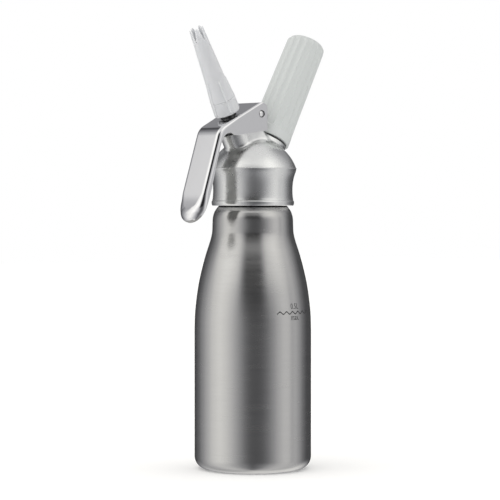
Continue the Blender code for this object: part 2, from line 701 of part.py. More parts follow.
def make_stem(parts, cutters, nozzle):
    """Hollow valve stem with thrust flange, cross ports, threaded top and foot."""
    flange_top = -LEVER_SHEET - CLEARANCE
    flange_bottom = flange_top - STEM_FLANGE_THICKNESS
    bore_floor = SEAT_LEVEL + STEM_PORT_RISE - 2 * STEM_PORT_RADIUS
    outline = [(0, bore_floor), (STEM_BORE_RADIUS, bore_floor), (STEM_BORE_RADIUS, STEM_TOP)]
    outline += [(STEM_THREAD_CORE, STEM_TOP), (STEM_THREAD_CORE, flange_top)]
    outline += [(STEM_FLANGE_RADIUS, flange_top), (STEM_FLANGE_RADIUS, flange_bottom)]
    outline += [(STEM_RADIUS, flange_bottom), (STEM_RADIUS, SEAT_LEVEL), (STEM_FOOT_RADIUS, SEAT_LEVEL)]
    outline += [(STEM_FOOT_RADIUS, SEAT_LEVEL - STEM_FOOT_LENGTH), (0, SEAT_LEVEL - STEM_FOOT_LENGTH)]
    stem = turned("valve_stem", outline, parts, nozzle)
    thread = helix("stem_thread", STEM_THREAD_CORE, STEM_THREAD_DEPTH, STEM_THREAD_START, STEM_THREAD_PITCH,
                   STEM_THREAD_TURNS, parts, nozzle, COARSE_STEPS, taper_share=THREAD_TAPER_SHARE)
    combine(stem, [thread], "UNION", cutters)
    port = cross_rod("stem_port", STEM_PORT_RADIUS, STEM_RADIUS + OVERRUN, parts, nozzle)
    port.data.transform(Matrix.Translation((0, 0, SEAT_LEVEL + STEM_PORT_RISE)))
    combine(stem, [port], "DIFFERENCE", cutters)
    return tidy(stem)


def make_valve_parts(parts, cutters, nozzle):
    """Seals, washers, spring and nut along the stem."""
    well_floor = FRONT_BOSS_TOP - SPRING_WELL_DEPTH
    seat_bottom = well_floor + CLEARANCE
    seat_top = seat_bottom + SPRING_SEAT_THICKNESS
    guide = STEM_RADIUS + CLEARANCE
    washer_radius = SPRING_WELL_RADIUS - CLEARANCE
    washer = ring("spring_seat_washer", guide, washer_radius, seat_bottom, seat_top, parts, nozzle)
    ring_radius = guide + O_RING_WIRE_RADIUS
    ring_height = well_floor - SEAL_POCKET_DEPTH + CLEARANCE + O_RING_WIRE_RADIUS
    circle = arc((ring_radius, ring_height), O_RING_WIRE_RADIUS, O_RING_WIRE_RADIUS, 0, -2 * math.pi, 6)[:-1]
    o_ring = turned("stem_o_ring", circle, parts, nozzle, COARSE_STEPS, closed=True)

    flange_bottom = -LEVER_SHEET - CLEARANCE - STEM_FLANGE_THICKNESS
    low = seat_top + CLEARANCE + SPRING_WIRE_RADIUS
    high = flange_bottom - CLEARANCE - SPRING_WIRE_RADIUS
    spring = helix("valve_spring", SPRING_COIL_RADIUS, SPRING_WIRE_RADIUS, low, (high - low) / SPRING_TURNS,
                   SPRING_TURNS, parts, nozzle, SPRING_STEPS, sides_level=1)

    foot_bore = STEM_FOOT_RADIUS + CLEARANCE
    disc_top = SEAT_LEVEL - CLEARANCE
    disc_bottom = disc_top - VALVE_DISC_THICKNESS
    disc = ring("valve_disc", foot_bore, VALVE_DISC_RADIUS, disc_bottom, disc_top, parts, nozzle)
    washer_top = disc_bottom - CLEARANCE
    washer_bottom = washer_top - VALVE_WASHER_THICKNESS
    backing = ring("valve_disc_washer", foot_bore, VALVE_WASHER_RADIUS, washer_bottom, washer_top, parts,
                   nozzle)
    nut_top = washer_bottom - CLEARANCE
    nut_bottom = nut_top - VALVE_NUT_THICKNESS
    nut = rod("valve_nut", VALVE_NUT_RADIUS, nut_bottom, nut_top, parts, nozzle, VALVE_NUT_SIDES)
    nut_hole = rod("nut_hole", foot_bore, nut_bottom - OVERRUN, nut_top + OVERRUN, parts, nozzle,
                   COARSE_STEPS)
    tidy(combine(nut, [nut_hole], "DIFFERENCE", cutters))
    return washer, o_ring, shade(spring), disc, backing, nut


def loft(name, rings, collection, parent=None):
    """A solid through rings that hold the same number of points, listed from the top down."""
    shell = bmesh.new()
    loops = [[shell.verts.new(point) for point in points] for points in rings]
    count = len(loops[0])
    for upper, lower in zip(loops, loops[1:]):
        for i in range(count):
            j = (i + 1) % count
            shell.faces.new((upper[i], lower[i], lower[j], upper[j]))
    shell.faces.new(loops[0])
    shell.faces.new(list(reversed(loops[-1])))
    bmesh.ops.recalc_face_normals(shell, faces=shell.faces)
    mesh = bpy.data.meshes.new(name)
    shell.to_mesh(mesh)
    shell.free()
    return shade(place(bpy.data.objects.new(name, mesh), collection, parent))


def ring_points(radius_at, height, count):
    """A ring of points whose radius may change round the axis."""
    points = []
    for i in range(count):
        angle = 2 * math.pi * i / count
        radius = radius_at(angle)
        points.append((radius * math.cos(angle), radius * math.sin(angle), height))
    return points


def rib_lift(angle):
    """How far a rib stands proud of the tip at an angle round its axis, as a share of its height."""
    pitch = 2 * math.pi / TIP_RIB_COUNT
    offset = abs((angle + pitch / 2) % pitch - pitch / 2) / pitch
    return 1.0 if offset < TIP_RIB_WIDTH_SHARE / 2 else 0.0


def tip_seal_level():
    """Height of the seal's upper face, where the tip's passage begins."""
    return STEM_TOP + CLEARANCE + TIP_SEAL_THICKNESS


def insert_radius():
    """Outer radius of the tip's metal insert."""
    return STEM_THREAD_CORE + STEM_THREAD_DEPTH + THREAD_CLEARANCE + INSERT_WALL


def tip_rings():
    """Rings of the tip's outside, from its mouth down to its rounded lower lip."""
    top = TIP_BOTTOM + TIP_LENGTH
    band_top = TIP_BOTTOM + TIP_BAND_HEIGHT
    rib_top = TIP_BOTTOM + TIP_RIB_LENGTH
    rows = [(top, TIP_END_RADIUS, 0), (rib_top + TIP_RIB_HEIGHT, TIP_RIB_TOP_RADIUS, 0)]
    rows += [(rib_top, TIP_RIB_TOP_RADIUS, 1)]
    rows += [(band_top + TIP_SEAM_WIDTH, TIP_BAND_TOP_RADIUS - TIP_SEAM_DEPTH, 1)]
    rows += [(band_top + TIP_SEAM_WIDTH / 2, TIP_BAND_TOP_RADIUS - 2 * TIP_SEAM_DEPTH, 0)]
    rows += [(band_top, TIP_BAND_TOP_RADIUS - TIP_RIB_HEIGHT, 1)]
    rows += [(TIP_BOTTOM + TIP_LIP_RADIUS, TIP_BASE_RADIUS - TIP_RIB_HEIGHT, 1)]
    lip = TIP_BASE_RADIUS - TIP_RIB_HEIGHT
    chamfer = TIP_LIP_RADIUS * TIP_LIP_CHAMFER_SHARE
    rows += [(TIP_BOTTOM + chamfer, lip - chamfer, 0)]
    rows += [(TIP_BOTTOM, lip - TIP_LIP_RADIUS, 0)]
    rings = []
    for height, radius, ribbed in rows:
        lift = TIP_RIB_HEIGHT * ribbed
        rings.append(ring_points(lambda angle: radius + lift * rib_lift(angle), height, TIP_FACETS))
    return rings


def make_tip(parts, cutters, nozzle):
    """Decorator tip: ribbed cone with a slotted mouth, bored for its insert and its passage."""
    tip = loft("decorator_tip", tip_rings(), parts, nozzle)
    top = TIP_BOTTOM + TIP_LENGTH
    shoulder = tip_seal_level() + CLEARANCE
    socket = insert_radius() + CLEARANCE
    passage = TIP_RIB_TOP_RADIUS - TIP_WALL
    bore = [(0, top + OVERRUN), (TIP_END_RADIUS - TIP_WALL, top + OVERRUN), (TIP_END_RADIUS - TIP_WALL, top)]
    bore += [(passage, TIP_BOTTOM + TIP_RIB_LENGTH), (passage, shoulder + OVERRUN)]
    bore += [(TIP_SEAL_BORE_RADIUS, shoulder + OVERRUN), (TIP_SEAL_BORE_RADIUS, shoulder)]
    bore += [(socket, shoulder), (socket, TIP_BOTTOM - OVERRUN), (0, TIP_BOTTOM - OVERRUN)]
    cutter = turned("tip_bore", bore, parts, nozzle)
    slots = []
    outwards = Matrix.Translation((0, TIP_BASE_RADIUS, 0))
    for i in range(TIP_SLOT_COUNT):
        half = TIP_SLOT_WIDTH / 2
        mouth = half * TIP_SLOT_MOUTH_SHARE
        foot = half * TIP_SLOT_FOOT_SHARE
        wedge = [(-half, top + OVERRUN), (half, top + OVERRUN), (mouth, top)]
        wedge += [(foot, top - TIP_SLOT_LENGTH), (-foot, top - TIP_SLOT_LENGTH), (-mouth, top)]
        slot = extruded(f"tip_slot_{i}", wedge, TIP_BASE_RADIUS, parts, nozzle)
        slot.data.transform(Matrix.Rotation(2 * math.pi * i / TIP_SLOT_COUNT, 4, "Z") @ outwards)
        slots.append(slot)
    tidy(combine(tip, [cutter] + slots, "DIFFERENCE", cutters))
    tip.rotation_euler = (0, 0, TIP_TURN)
    return tip


def make_tip_insert(parts, cutters, nozzle):
    """Threaded metal insert in the tip's foot, and the seal above the stem's end."""
    bottom = TIP_BOTTOM + INSERT_FOOT
    bore = STEM_THREAD_CORE + CLEARANCE
    insert = ring("tip_insert", bore, insert_radius(), bottom, INSERT_TOP - CLEARANCE, parts, nozzle)
    groove = helix("insert_groove", STEM_THREAD_CORE, STEM_THREAD_DEPTH + THREAD_CLEARANCE,
                   STEM_THREAD_START - STEM_THREAD_PITCH, STEM_THREAD_PITCH,
                   STEM_THREAD_TURNS + INSERT_GROOVE_EXTRA_TURNS, parts, nozzle, COARSE_STEPS)
    tidy(combine(insert, [groove], "DIFFERENCE", cutters))
    seal_outer = insert_radius() - CLEARANCE
    seal = ring("tip_seal", TIP_SEAL_BORE_RADIUS, seal_outer, STEM_TOP + CLEARANCE, tip_seal_level(), parts,
                nozzle)
    return insert, seal


def make_inlet_parts(parts, inlet):
    """Piercing pin, charger seal, check valve and its retaining ring."""
    base_bottom = PIN_POCKET_BOTTOM + CLEARANCE
    base_top = base_bottom + PIERCING_BASE_LENGTH
    base = PIN_POCKET_RADIUS - CLEARANCE
    cone = PIERCING_TOP - 2 * PIERCING_NEEDLE_RADIUS
    outline = [(PIERCING_BORE_RADIUS, PIERCING_TOP), (PIERCING_TIP_RADIUS, PIERCING_TOP)]
    outline += [(PIERCING_NEEDLE_RADIUS, cone), (PIERCING_NEEDLE_RADIUS, base_top), (base, base_top)]
    outline += [(base, base_bottom), (PIERCING_BORE_RADIUS, base_bottom)]
    pin = turned("piercing_pin", outline, parts, inlet, COARSE_STEPS, closed=True)
    seal_bottom = NECK_POCKET_BOTTOM + CLEARANCE
    seal = ring("charger_seal", PIERCING_NEEDLE_RADIUS + CLEARANCE, NECK_POCKET_RADIUS - CLEARANCE,
                seal_bottom, seal_bottom + CHARGER_SEAL_THICKNESS, parts, inlet, COARSE_STEPS)
    recess_top = INLET_BOSS_BOTTOM + CHECK_RECESS_DEPTH
    disc_top = recess_top - CLEARANCE
    disc_bottom = disc_top - CHECK_DISC_THICKNESS
    stalk = GAS_PASSAGE_RADIUS * CHECK_STALK_SHARE
    stalk_top = disc_top + 2 * CHECK_DISC_THICKNESS
    outline = [(0, stalk_top), (stalk, stalk_top), (stalk, disc_top), (CHECK_DISC_RADIUS, disc_top)]
    outline += [(CHECK_DISC_RADIUS, disc_bottom), (0, disc_bottom)]
    check = turned("inlet_check_valve", outline, parts, inlet, COARSE_STEPS)
    retainer_top = disc_bottom - CLEARANCE
    retainer = ring("inlet_retainer", RETAINER_BORE_RADIUS, CHECK_RECESS_RADIUS - CLEARANCE,
                    retainer_top - RETAINER_THICKNESS, retainer_top, parts, inlet, COARSE_STEPS)
    return pin, seal, check, retainer


def charger_base():
    """Level of the charger's pierced neck, just above its seal."""
    return NECK_POCKET_BOTTOM + CLEARANCE + CHARGER_SEAL_THICKNESS + CLEARANCE


def make_charger(parts, inlet):
    """Standard gas cartridge: narrow pierced neck, round shoulder, straight body, domed end."""
    base = charger_base()
    end = base + CHARGER_LENGTH
    dome_foot = end - CHARGER_DOME_LENGTH
    neck_top = base + CHARGER_NECK_LENGTH
    shoulder_top = neck_top + CHARGER_SHOULDER_LENGTH
    outer = arc((0, dome_foot), CHARGER_RADIUS, CHARGER_DOME_LENGTH, math.pi / 2, 0, 5)
    outer.append((CHARGER_RADIUS, shoulder_top))
    swell = CHARGER_RADIUS - CHARGER_NECK_RADIUS
    for share in CHARGER_SHOULDER_SHARES:
        width = (1 - math.cos(math.pi * share)) / 2
        height = neck_top + CHARGER_SHOULDER_LENGTH * share
        outer.append((CHARGER_NECK_RADIUS + swell * width, height))
    outer.append((CHARGER_NECK_RADIUS, neck_top))
    outer.append((CHARGER_NECK_RADIUS, base))
    wall = inset(outer[:-1], CHARGER_WALL)
    wall[0] = (0, end - CHARGER_WALL)
    inner = [(CHARGER_PIERCING_RADIUS, base), (CHARGER_PIERCING_RADIUS, base + CHARGER_WALL)]
    inner += [(CHARGER_NECK_RADIUS - CHARGER_WALL, base + CHARGER_WALL)]
    inner += list(reversed(wall))
    return turned("gas_charger", outer + inner, parts, inlet, COARSE_STEPS + 4)


def holder_bore():
    """Radius of the holder's bore, round the charger."""
    return CHARGER_RADIUS + CLEARANCE


def pad_bottom():
    """Level of the end pad's lower face, just past the charger's end."""
    return charger_base() + CHARGER_LENGTH + CLEARANCE


def holder_radius(height):
    """Outer radius of the tapered sleeve between its flutes."""
    share = height / HOLDER_LENGTH
    return HOLDER_RIM_RADIUS + (HOLDER_END_RADIUS - HOLDER_RIM_RADIUS) * share


def flute_cut(angle):
    """How deep a flute is at an angle round the sleeve, as a share of its depth."""
    pitch = 2 * math.pi / FLUTE_COUNT
    share = (angle % pitch) / pitch
    return math.sin(math.pi * share)


def sleeve_rings():
    """Rings of the sleeve's outside, from its domed end down to its rim."""
    edge = HOLDER_EDGE_RADIUS
    rows = []
    for angle in (math.pi / 2, math.pi / 3, math.pi / 6, 0):
        height = HOLDER_LENGTH - edge + edge * math.sin(angle)
        rows.append((height, HOLDER_END_RADIUS - edge + edge * math.cos(angle), math.cos(angle)))
    flute_foot = HOLDER_BAND + FLUTE_RUNOUT
    rows += [(flute_foot, holder_radius(flute_foot), 1), (HOLDER_BAND, holder_radius(HOLDER_BAND), 0)]
    rows += [(HOLDER_RIM_ROUNDING, HOLDER_RIM_RADIUS, 0), (0, HOLDER_RIM_RADIUS - HOLDER_RIM_ROUNDING, 0)]
    count = FLUTE_COUNT * FACETS_PER_FLUTE
    rings = []
    for height, radius, depth in rows:
        cut = FLUTE_DEPTH * depth
        rings.append(ring_points(lambda angle: radius - cut * flute_cut(angle), height, count))
    return rings


def liner_radii():
    """Thread bore and outer radii of the liner: bore, threaded part's outside, tube's outside."""
    bore = STUD_CORE_RADIUS + CLEARANCE
    outer = STUD_CORE_RADIUS + LINER_THREAD_WALL
    tube = holder_bore() + LINER_WALL
    return bore, outer, tube


def make_holder(parts, cutters, inlet):
    """Fluted sleeve, threaded liner and end pad of the charger holder."""
    bore, outer, tube = liner_radii()
    liner_top = pad_bottom() - 2 * PAD_THICKNESS
    sleeve = loft("holder_sleeve", sleeve_rings(), parts, inlet)
    pad_top = pad_bottom() + PAD_THICKNESS
    pocket = [(0, pad_top + CLEARANCE), (PAD_RADIUS + CLEARANCE, pad_top + CLEARANCE)]
    pocket += [(PAD_RADIUS + CLEARANCE, liner_top + CLEARANCE), (tube + CLEARANCE, liner_top + CLEARANCE)]
    step = LINER_THREAD_TOP + CLEARANCE
    pocket += [(tube + CLEARANCE, step), (outer + CLEARANCE, step)]
    pocket += [(outer + CLEARANCE, -OVERRUN), (0, -OVERRUN)]
    cutter = turned("sleeve_bore", pocket, parts, inlet)
    tidy(combine(sleeve, [cutter], "DIFFERENCE", cutters))
    sleeve.rotation_euler = (0, 0, HOLDER_TURN)

    mouth = STUD_CORE_RADIUS + STUD_THREAD_DEPTH + 2 * THREAD_CLEARANCE
    outline = [(tube, liner_top), (tube, LINER_THREAD_TOP), (outer, LINER_THREAD_TOP), (outer, CLEARANCE)]
    outline += [(mouth, CLEARANCE), (mouth, LINER_MOUTH_DEPTH), (bore, LINER_MOUTH_DEPTH)]
    ledge = STUD_TOP + CLEARANCE
    outline += [(bore, ledge), (holder_bore(), ledge), (holder_bore(), liner_top)]
    liner = turned("holder_liner", outline, parts, inlet, closed=True)
    groove = helix("liner_groove", STUD_CORE_RADIUS, STUD_THREAD_DEPTH + THREAD_CLEARANCE,
                   STUD_THREAD_START - STUD_THREAD_PITCH, STUD_THREAD_PITCH,
                   STUD_THREAD_TURNS + LINER_GROOVE_EXTRA_TURNS, parts, inlet, COARSE_STEPS)
    tidy(combine(liner, [groove], "DIFFERENCE", cutters))
    pad = rod("holder_end_pad", PAD_RADIUS, pad_bottom(), pad_top, parts, inlet, COARSE_STEPS)
    return sleeve, liner, pad


def paint(finish, pieces):
    """Gives pieces a finish, each in a material of its own."""
    colour, roughness, metallic = finish
    for piece in pieces:
        piece.data.materials.clear()
        piece.data.materials.append(material(piece.name, colour, roughness, metallic))


def main():
    """Builds every piece on its axis and paints it."""
    parts, cutters = start_scene()
    pivot = axis_empty("lever_pivot_axis", (PIVOT_OFFSET, 0, PIVOT_HEIGHT), -LEVER_TILT, parts)
    nozzle = axis_empty("nozzle_axis", (-STEM_REACH, 0, PLATE_RISE), 0, parts, pivot)
    inlet = axis_empty("holder_axis", (HOLDER_OFFSET, 0, HOLDER_RIM_HEIGHT), HOLDER_TILT, parts)

    bottle = make_bottle(parts, cutters)
    gasket = make_gasket(parts)
    head = make_head(parts, cutters, pivot, nozzle, inlet)
    pin = make_pivot_pin(parts, pivot)
    lever = make_lever(parts, cutters, pivot, nozzle)
    stem = make_stem(parts, cutters, nozzle)
    spring_seat, o_ring, spring, disc, backing, nut = make_valve_parts(parts, cutters, nozzle)
    tip = make_tip(parts, cutters, nozzle)
    insert, tip_seal = make_tip_insert(parts, cutters, nozzle)
    piercing_pin, charger_seal, check, retainer = make_inlet_parts(parts, inlet)
    charger = make_charger(parts, inlet)
    sleeve, liner, pad = make_holder(parts, cutters, inlet)

    brushed_steel = ((0.52, 0.51, 0.50), 0.38, 1.0)
    polished_steel = ((0.68, 0.68, 0.69), 0.12, 1.0)
    satin_aluminium = ((0.66, 0.67, 0.68), 0.42, 1.0)
    white_plastic = ((0.84, 0.86, 0.86), 0.35, 0.0)
    dark_rubber = ((0.05, 0.05, 0.05), 0.75, 0.0)
    paint(brushed_steel, [bottle, stem, backing, nut, spring_seat, spring, piercing_pin, charger])
    paint(polished_steel, [lever, pin])
    paint(satin_aluminium, [head, liner, insert, retainer])
    paint(white_plastic, [tip, sleeve])
    paint(dark_rubber, [gasket, o_ring, disc, tip_seal, charger_seal, check, pad])


main()
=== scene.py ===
"""Looks of the whipped cream dispenser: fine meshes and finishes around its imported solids.

Metres, +Z up, origin at the centre of the bottle's flat base. The lever and the decorator tip lean
towards -X, the charger holder towards +X, and Y = 0 is the plane of symmetry.
"""
import math

import bmesh
import bpy
import numpy as np
from mathutils import Matrix, Vector


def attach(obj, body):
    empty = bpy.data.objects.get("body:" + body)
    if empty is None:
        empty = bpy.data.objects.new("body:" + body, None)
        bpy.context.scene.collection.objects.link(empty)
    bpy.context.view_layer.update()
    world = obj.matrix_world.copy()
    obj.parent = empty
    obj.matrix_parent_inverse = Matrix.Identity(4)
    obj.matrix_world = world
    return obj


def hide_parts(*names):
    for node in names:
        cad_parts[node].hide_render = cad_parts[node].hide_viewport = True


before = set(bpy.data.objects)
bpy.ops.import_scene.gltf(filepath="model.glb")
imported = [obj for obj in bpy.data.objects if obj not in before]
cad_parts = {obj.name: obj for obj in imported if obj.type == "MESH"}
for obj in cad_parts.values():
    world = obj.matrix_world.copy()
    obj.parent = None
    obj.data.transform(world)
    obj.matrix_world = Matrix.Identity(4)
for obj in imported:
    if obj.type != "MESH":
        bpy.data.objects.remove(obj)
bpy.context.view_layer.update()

# Gaps and small roundings
MERGE_DISTANCE = 0.000001
EDGE_ROUNDING = 0.0003
OVERRUN = 0.002
SKIN = 0.00003
SHARP_CORNER = math.radians(25)
CREASE = math.radians(32)

# Facets round a piece and steps along a curve
BOTTLE_STEPS = 192
FITTING_STEPS = 96
SMALL_STEPS = 64
THREAD_STEPS = 72
WIRE_STEPS = 16
SPRING_STEPS = 48
ARC_STEPS = 16
RIM_STEPS = 8
EASE_STEPS = 4

# Thread ridge: its section as shares of its depth, and how it fades at both ends
THREAD_SECTION_SHARES = ((-0.6, -0.9), (0.55, -0.25), (0.9, 0.0), (0.55, 0.25), (-0.6, 0.9))
THREAD_FADE_SHARE = 0.1
THREAD_LEAST_SHARE = 0.05

# Bottle
BOTTLE_RADIUS = 0.040
BOTTLE_CORNER_RADIUS = 0.0088
BOTTLE_WALL = 0.0008
STRAIGHT_HEIGHT = 0.0950
SHOULDER_HEIGHT = 0.1609
THROAT_RADIUS = 0.0281
BEAD_TOP = 0.1806
BEAD_OUTLINE = (
    (0.0236, 0.1801), (0.0245, 0.1789), (0.0255, 0.1775), (0.0263, 0.1761), (0.0268, 0.1747),
    (0.0272, 0.1733), (0.02745, 0.1718), (0.02758, 0.1700), (0.02768, 0.1668), (0.02779, 0.1638),
)
NECK_RADIUS = 0.0228
NECK_WALL = 0.0020
LIP_HEIGHT = 0.1970
SHOULDER_RISE_SHARES = (0.0, 0.16, 0.32, 0.48, 0.64, 0.79, 0.93, 1.0)
SHOULDER_INSET_SHARES = (0.0, 0.025, 0.108, 0.238, 0.430, 0.658, 0.905, 1.0)
SIDE_STEPS = 8
BASE_DISH_RADIUS = 0.0275
BASE_DISH_DEPTH = 0.0004
NECK_THREAD_PITCH = 0.0040
NECK_THREAD_DEPTH = 0.0012
NECK_THREAD_START = 0.1866
NECK_THREAD_TURNS = 1.75

# Fill mark etched on the bottle, given as angles to the right of the camera's side
FILL_HEIGHT = 0.1084
FILL_START = math.radians(24.2)
FILL_END = math.radians(68.0)
FILL_WAVES = 5.8
FILL_WAVE_PHASE = math.radians(-70)
FILL_WAVE_HEIGHT = 0.0008
FILL_LINE_WIDTH = 0.0008
FILL_TEXT_ANGLE = math.radians(46.0)
FILL_TEXT_WIDTH = 0.0074
FILL_STEPS = 240
LETTER_STEPS = 6
LETTER_CUTS = 2
# Words above and below the line: text, height of the letters and rise of their foot above the line
FILL_WORDS = (("0.5L", 0.0036, 0.0026), ("max.", 0.0027, -0.0050))

# Head
COLLAR_BOTTOM = 0.1804
COLLAR_OUTLINE = (
    (0.02990, 0.2057), (0.02952, 0.2039), (0.02874, 0.2016), (0.02806, 0.1992), (0.02745, 0.1958),
    (0.02720, 0.1920), (0.02724, 0.1888), (0.02746, 0.1860), (0.02775, 0.1843),
)
COLLAR_LIP = (
    (0.02782, 0.18385), (0.02812, 0.18350), (0.02826, 0.18290), (0.02822, 0.18200), (0.02806, 0.18110),
    (0.02780, 0.18060),
)
RIDGE_LEVEL = 0.2061
RIDGE_RADIUS = 0.03005
RIDGE_LEDGE = 0.0004
DOME_RADIUS = 0.0315
DOME_WALL = 0.0039
DOME_FILLET = 0.0018
BOSS_FILLET = 0.0009
REAR_BOSS_FILLET = 0.0075
CAVITY_RADIUS = 0.0210
CAVITY_SEAT = 0.1998
COLLAR_BORE = 0.0247
SADDLE_HALF_WIDTH = 0.0100
SADDLE_LUG_RADIUS = 0.0050
SADDLE_FOOT_DEPTH = 0.0240
SADDLE_REAR_RAKE = math.radians(12)
SADDLE_CREST_SHARE = 0.75
SADDLE_TAIL = 0.0090
BOSS_ROUNDING = 0.0006
HEAD_CENTRE = (-0.0005, 0.0, 0.1978)
HEAD_COLUMNS = 384
HEAD_ROWS = 150
HEAD_RAY_START = 0.018
HEAD_RAY_STEPS = 90
HEAD_RAY_SHARE = 0.8
COLLAR_STEPS = 4
COLLAR_LIP_STEPS = 3
SADDLE_STEPS = 24

# Lever
PIVOT_OFFSET = -0.0024
PIVOT_HEIGHT = 0.2429
PIN_RADIUS = 0.0020
PIN_RECESS = 0.0001
PIN_DOME = 0.0002
PIN_EDGE_RADIUS = 0.0006
PIN_DOME_ROWS = 6
LEVER_TILT = math.radians(26.6)
LEVER_WIDTH = 0.0240
LEVER_SHEET = 0.0015
LEVER_BEND_RADIUS = 0.0014
HANDLE_BEND_RADIUS = 0.0027
END_BEND_RADIUS = 0.0060
END_BEND_REACH = 0.0080
INNER_BEND_RADIUS = 0.0002
PLATE_RISE = 0.0074
PLATE_HOLE_RADIUS = 0.0056
PLATE_REACH = 0.0383
FOLD_RADIUS = 0.0110
EAR_CORNER_RADIUS = 0.0050
EAR_REAR_OFFSET = 0.0051
EAR_REAR_DROP = 0.0109
EAR_FRONT_OFFSET = 0.0242
EAR_FRONT_DROP = 0.0151
NOTCH_WIDTH = 0.0090
NOTCH_RISE = 0.0016
HANDLE_BEND = math.radians(45.4)
HANDLE_LENGTH = 0.0654
HANDLE_FLANGE = 0.0055
FOLD_FLANGE = 0.0042
HANDLE_FLARE = 0.0030
HANDLE_STRAIGHT_SHARE = 0.71
END_LIFT = 0.0012
EAR_HOLE_RADIUS = 0.0025
HOLE_CHAMFER = 0.0002
HOLE_LIFT = 0.00002
HOLE_STEPS = 128
# Lower edge of the notch between ear and handle, as shares of its width and rise
NOTCH_SHARES = ((0.0, 0.0), (0.16, 0.75), (0.4, 1.0), (0.65, 0.95), (0.85, 0.55), (1.0, -0.2))
NOTCH_LEAD_SHARE = 0.25
FLANGE_SWELL = 0.0004
# Free edge of the fold and handle: lengths along the handle and depths under its outer face
FLANGE_EDGE = (
    (FOLD_RADIUS * 0.55, FOLD_FLANGE + FLANGE_SWELL), (FOLD_RADIUS * 1.1, FOLD_FLANGE),
    (FOLD_RADIUS * 2.2, FOLD_FLANGE + FLANGE_SWELL), (HANDLE_LENGTH * 0.7, HANDLE_FLANGE),
    (HANDLE_LENGTH, HANDLE_FLANGE - END_LIFT), (HANDLE_LENGTH * 1.1, HANDLE_FLANGE),
)
FLANGE_EDGE_STEPS = 5
DEEPEST_FLANGE = HANDLE_FLANGE * 4
PARALLEL = 1e-12
PLATE_STEPS = 40
HANDLE_STEPS = 60
END_SPOKES = 49
# Lengths along the lever: the ears lean back before the first, and stations stand closer before the second
LEAN_REACH = 0.028
CLOSE_REACH = 0.046
CLOSE_STATION = 0.0005
FAR_STATION = 0.0012
# Where the tight bend widens to the handle's, and how far before the end the handle's starts to widen
BEND_ZONE = (0.030, 0.050)
END_ZONE = (0.0200, 0.0060)
BEND_STEPS = 8
LEVER_RIM_STEPS = 3
SHEET_SHARES = (0, 0.25, 0.5, 0.75, 0.92)
FLANGE_SHARES = (0.25, 0.5, 0.75)
# Mask of the lever's inner faces: they are made matt, and their colour is greyed as painted shade.
INNER_MATT_AND_SHADE = "inner_matt_and_painted_shade"
INNER_WIDTH_SHARE = 0.9
INNER_FACING_SHARE = 0.3

# Valve and stem, measured along the nozzle's axis from the plate's top face
STEM_REACH = 0.0185
FRONT_BOSS_RADIUS = 0.0102
FRONT_BOSS_TOP = -0.0106
SEAT_LEVEL = -0.0300
SPRING_WELL_RADIUS = 0.00775
SPRING_WELL_DEPTH = 0.0081
STEM_RADIUS = 0.0040
STEM_BORE_RADIUS = 0.0025
STEM_FLANGE_RADIUS = 0.0097
STEM_FLANGE_TOP = -0.0018
STEM_FLANGE_THICKNESS = 0.0025
STEM_FOOT_RADIUS = 0.0020
STEM_FOOT_LENGTH = 0.0070
STEM_THREAD_CORE = 0.0046
STEM_TOP = 0.0102
STEM_THREAD_PITCH = 0.0022
STEM_THREAD_DEPTH = 0.0007
STEM_THREAD_START = 0.0042
STEM_THREAD_TURNS = 2.5
SPRING_WIRE_RADIUS = 0.0007
SPRING_COIL_RADIUS = 0.0062
SPRING_TURNS = 4.5
SPRING_LOW = -0.0167
SPRING_HIGH = -0.0053

# Decorator tip, along the same axis
TIP_BOTTOM = 0.0021
TIP_LENGTH = 0.0629
TIP_FOOT_ROUNDING = 0.0010
TIP_BASE_RADIUS = 0.0088
TIP_BAND_TOP_RADIUS = 0.0085
TIP_BAND_HEIGHT = 0.0097
TIP_SEAM_DEPTH = 0.0004
TIP_SEAM_WIDTH = 0.0007
TIP_CONE_RADIUS = 0.0070
TIP_END_RADIUS = 0.0047
TIP_RIB_HEIGHT = 0.0005
TIP_RIB_COUNT = 5
TIP_RIB_PHASE = math.radians(31.6)
TIP_RIB_WIDTH_SHARE = 0.15
TIP_RIB_LENGTH = 0.0250
TIP_WALL = 0.0011
TIP_SLOT_COUNT = 5
TIP_SLOT_PHASE = TIP_RIB_PHASE + math.radians(18)
TIP_SLOT_LENGTH = 0.0088
TIP_SLOT_MOUTH = 0.0036
TIP_SLOT_FOOT = 0.0007
# Slot's side near the mouth, which rounds the prongs: half width over the mouth's, and depth over the overrun
PRONG_END_SHARES = ((0.84, 0.80), (0.90, 0.50), (1.00, 0.25), (1.16, 0.09), (1.45, 0.01), (1.60, -1.0))
TIP_SOCKET_RADIUS = 0.0073
TIP_FOOT_BORE = 0.0056
TIP_FOOT_WEB = 0.0004
TIP_SOCKET_TOP = 0.0120
TIP_RIB_RUNOUT = 0.0006
TIP_STEPS = 288
# Rows of points down the cone, its foot and the band: first share, last share and count
TIP_CONE_ROWS = (0.02, 1, 40)
TIP_FOOT_ROWS = (0.04, 1, 30)
TIP_BAND_ROWS = (0.08, 0.95, 14)

# Charger holder and stud, measured along the inlet's axis from the holder's rim
HOLDER_TILT = math.radians(28.2)
HOLDER_OFFSET = 0.0143
HOLDER_RIM_HEIGHT = 0.2255
REAR_BOSS_RADIUS = 0.0130
REAR_BOSS_TOP = -0.0009
INLET_BOSS_BOTTOM = -0.0088
STUD_CORE_RADIUS = 0.0098
STUD_TOP = 0.0130
STUD_THREAD_PITCH = 0.0030
STUD_THREAD_DEPTH = 0.0010
STUD_THREAD_START = 0.0040
STUD_THREAD_TURNS = 2.5
NECK_POCKET_RADIUS = 0.0047
NECK_POCKET_BOTTOM = 0.0076
HOLDER_LENGTH = 0.0780
HOLDER_RIM_RADIUS = 0.0146
HOLDER_END_RADIUS = 0.0136
HOLDER_EDGE_RADIUS = 0.0042
HOLDER_RIM_ROUNDING = 0.0006
HOLDER_BAND = 0.0062
HOLDER_BORE_RADIUS = 0.0126
FLUTE_COUNT = 18
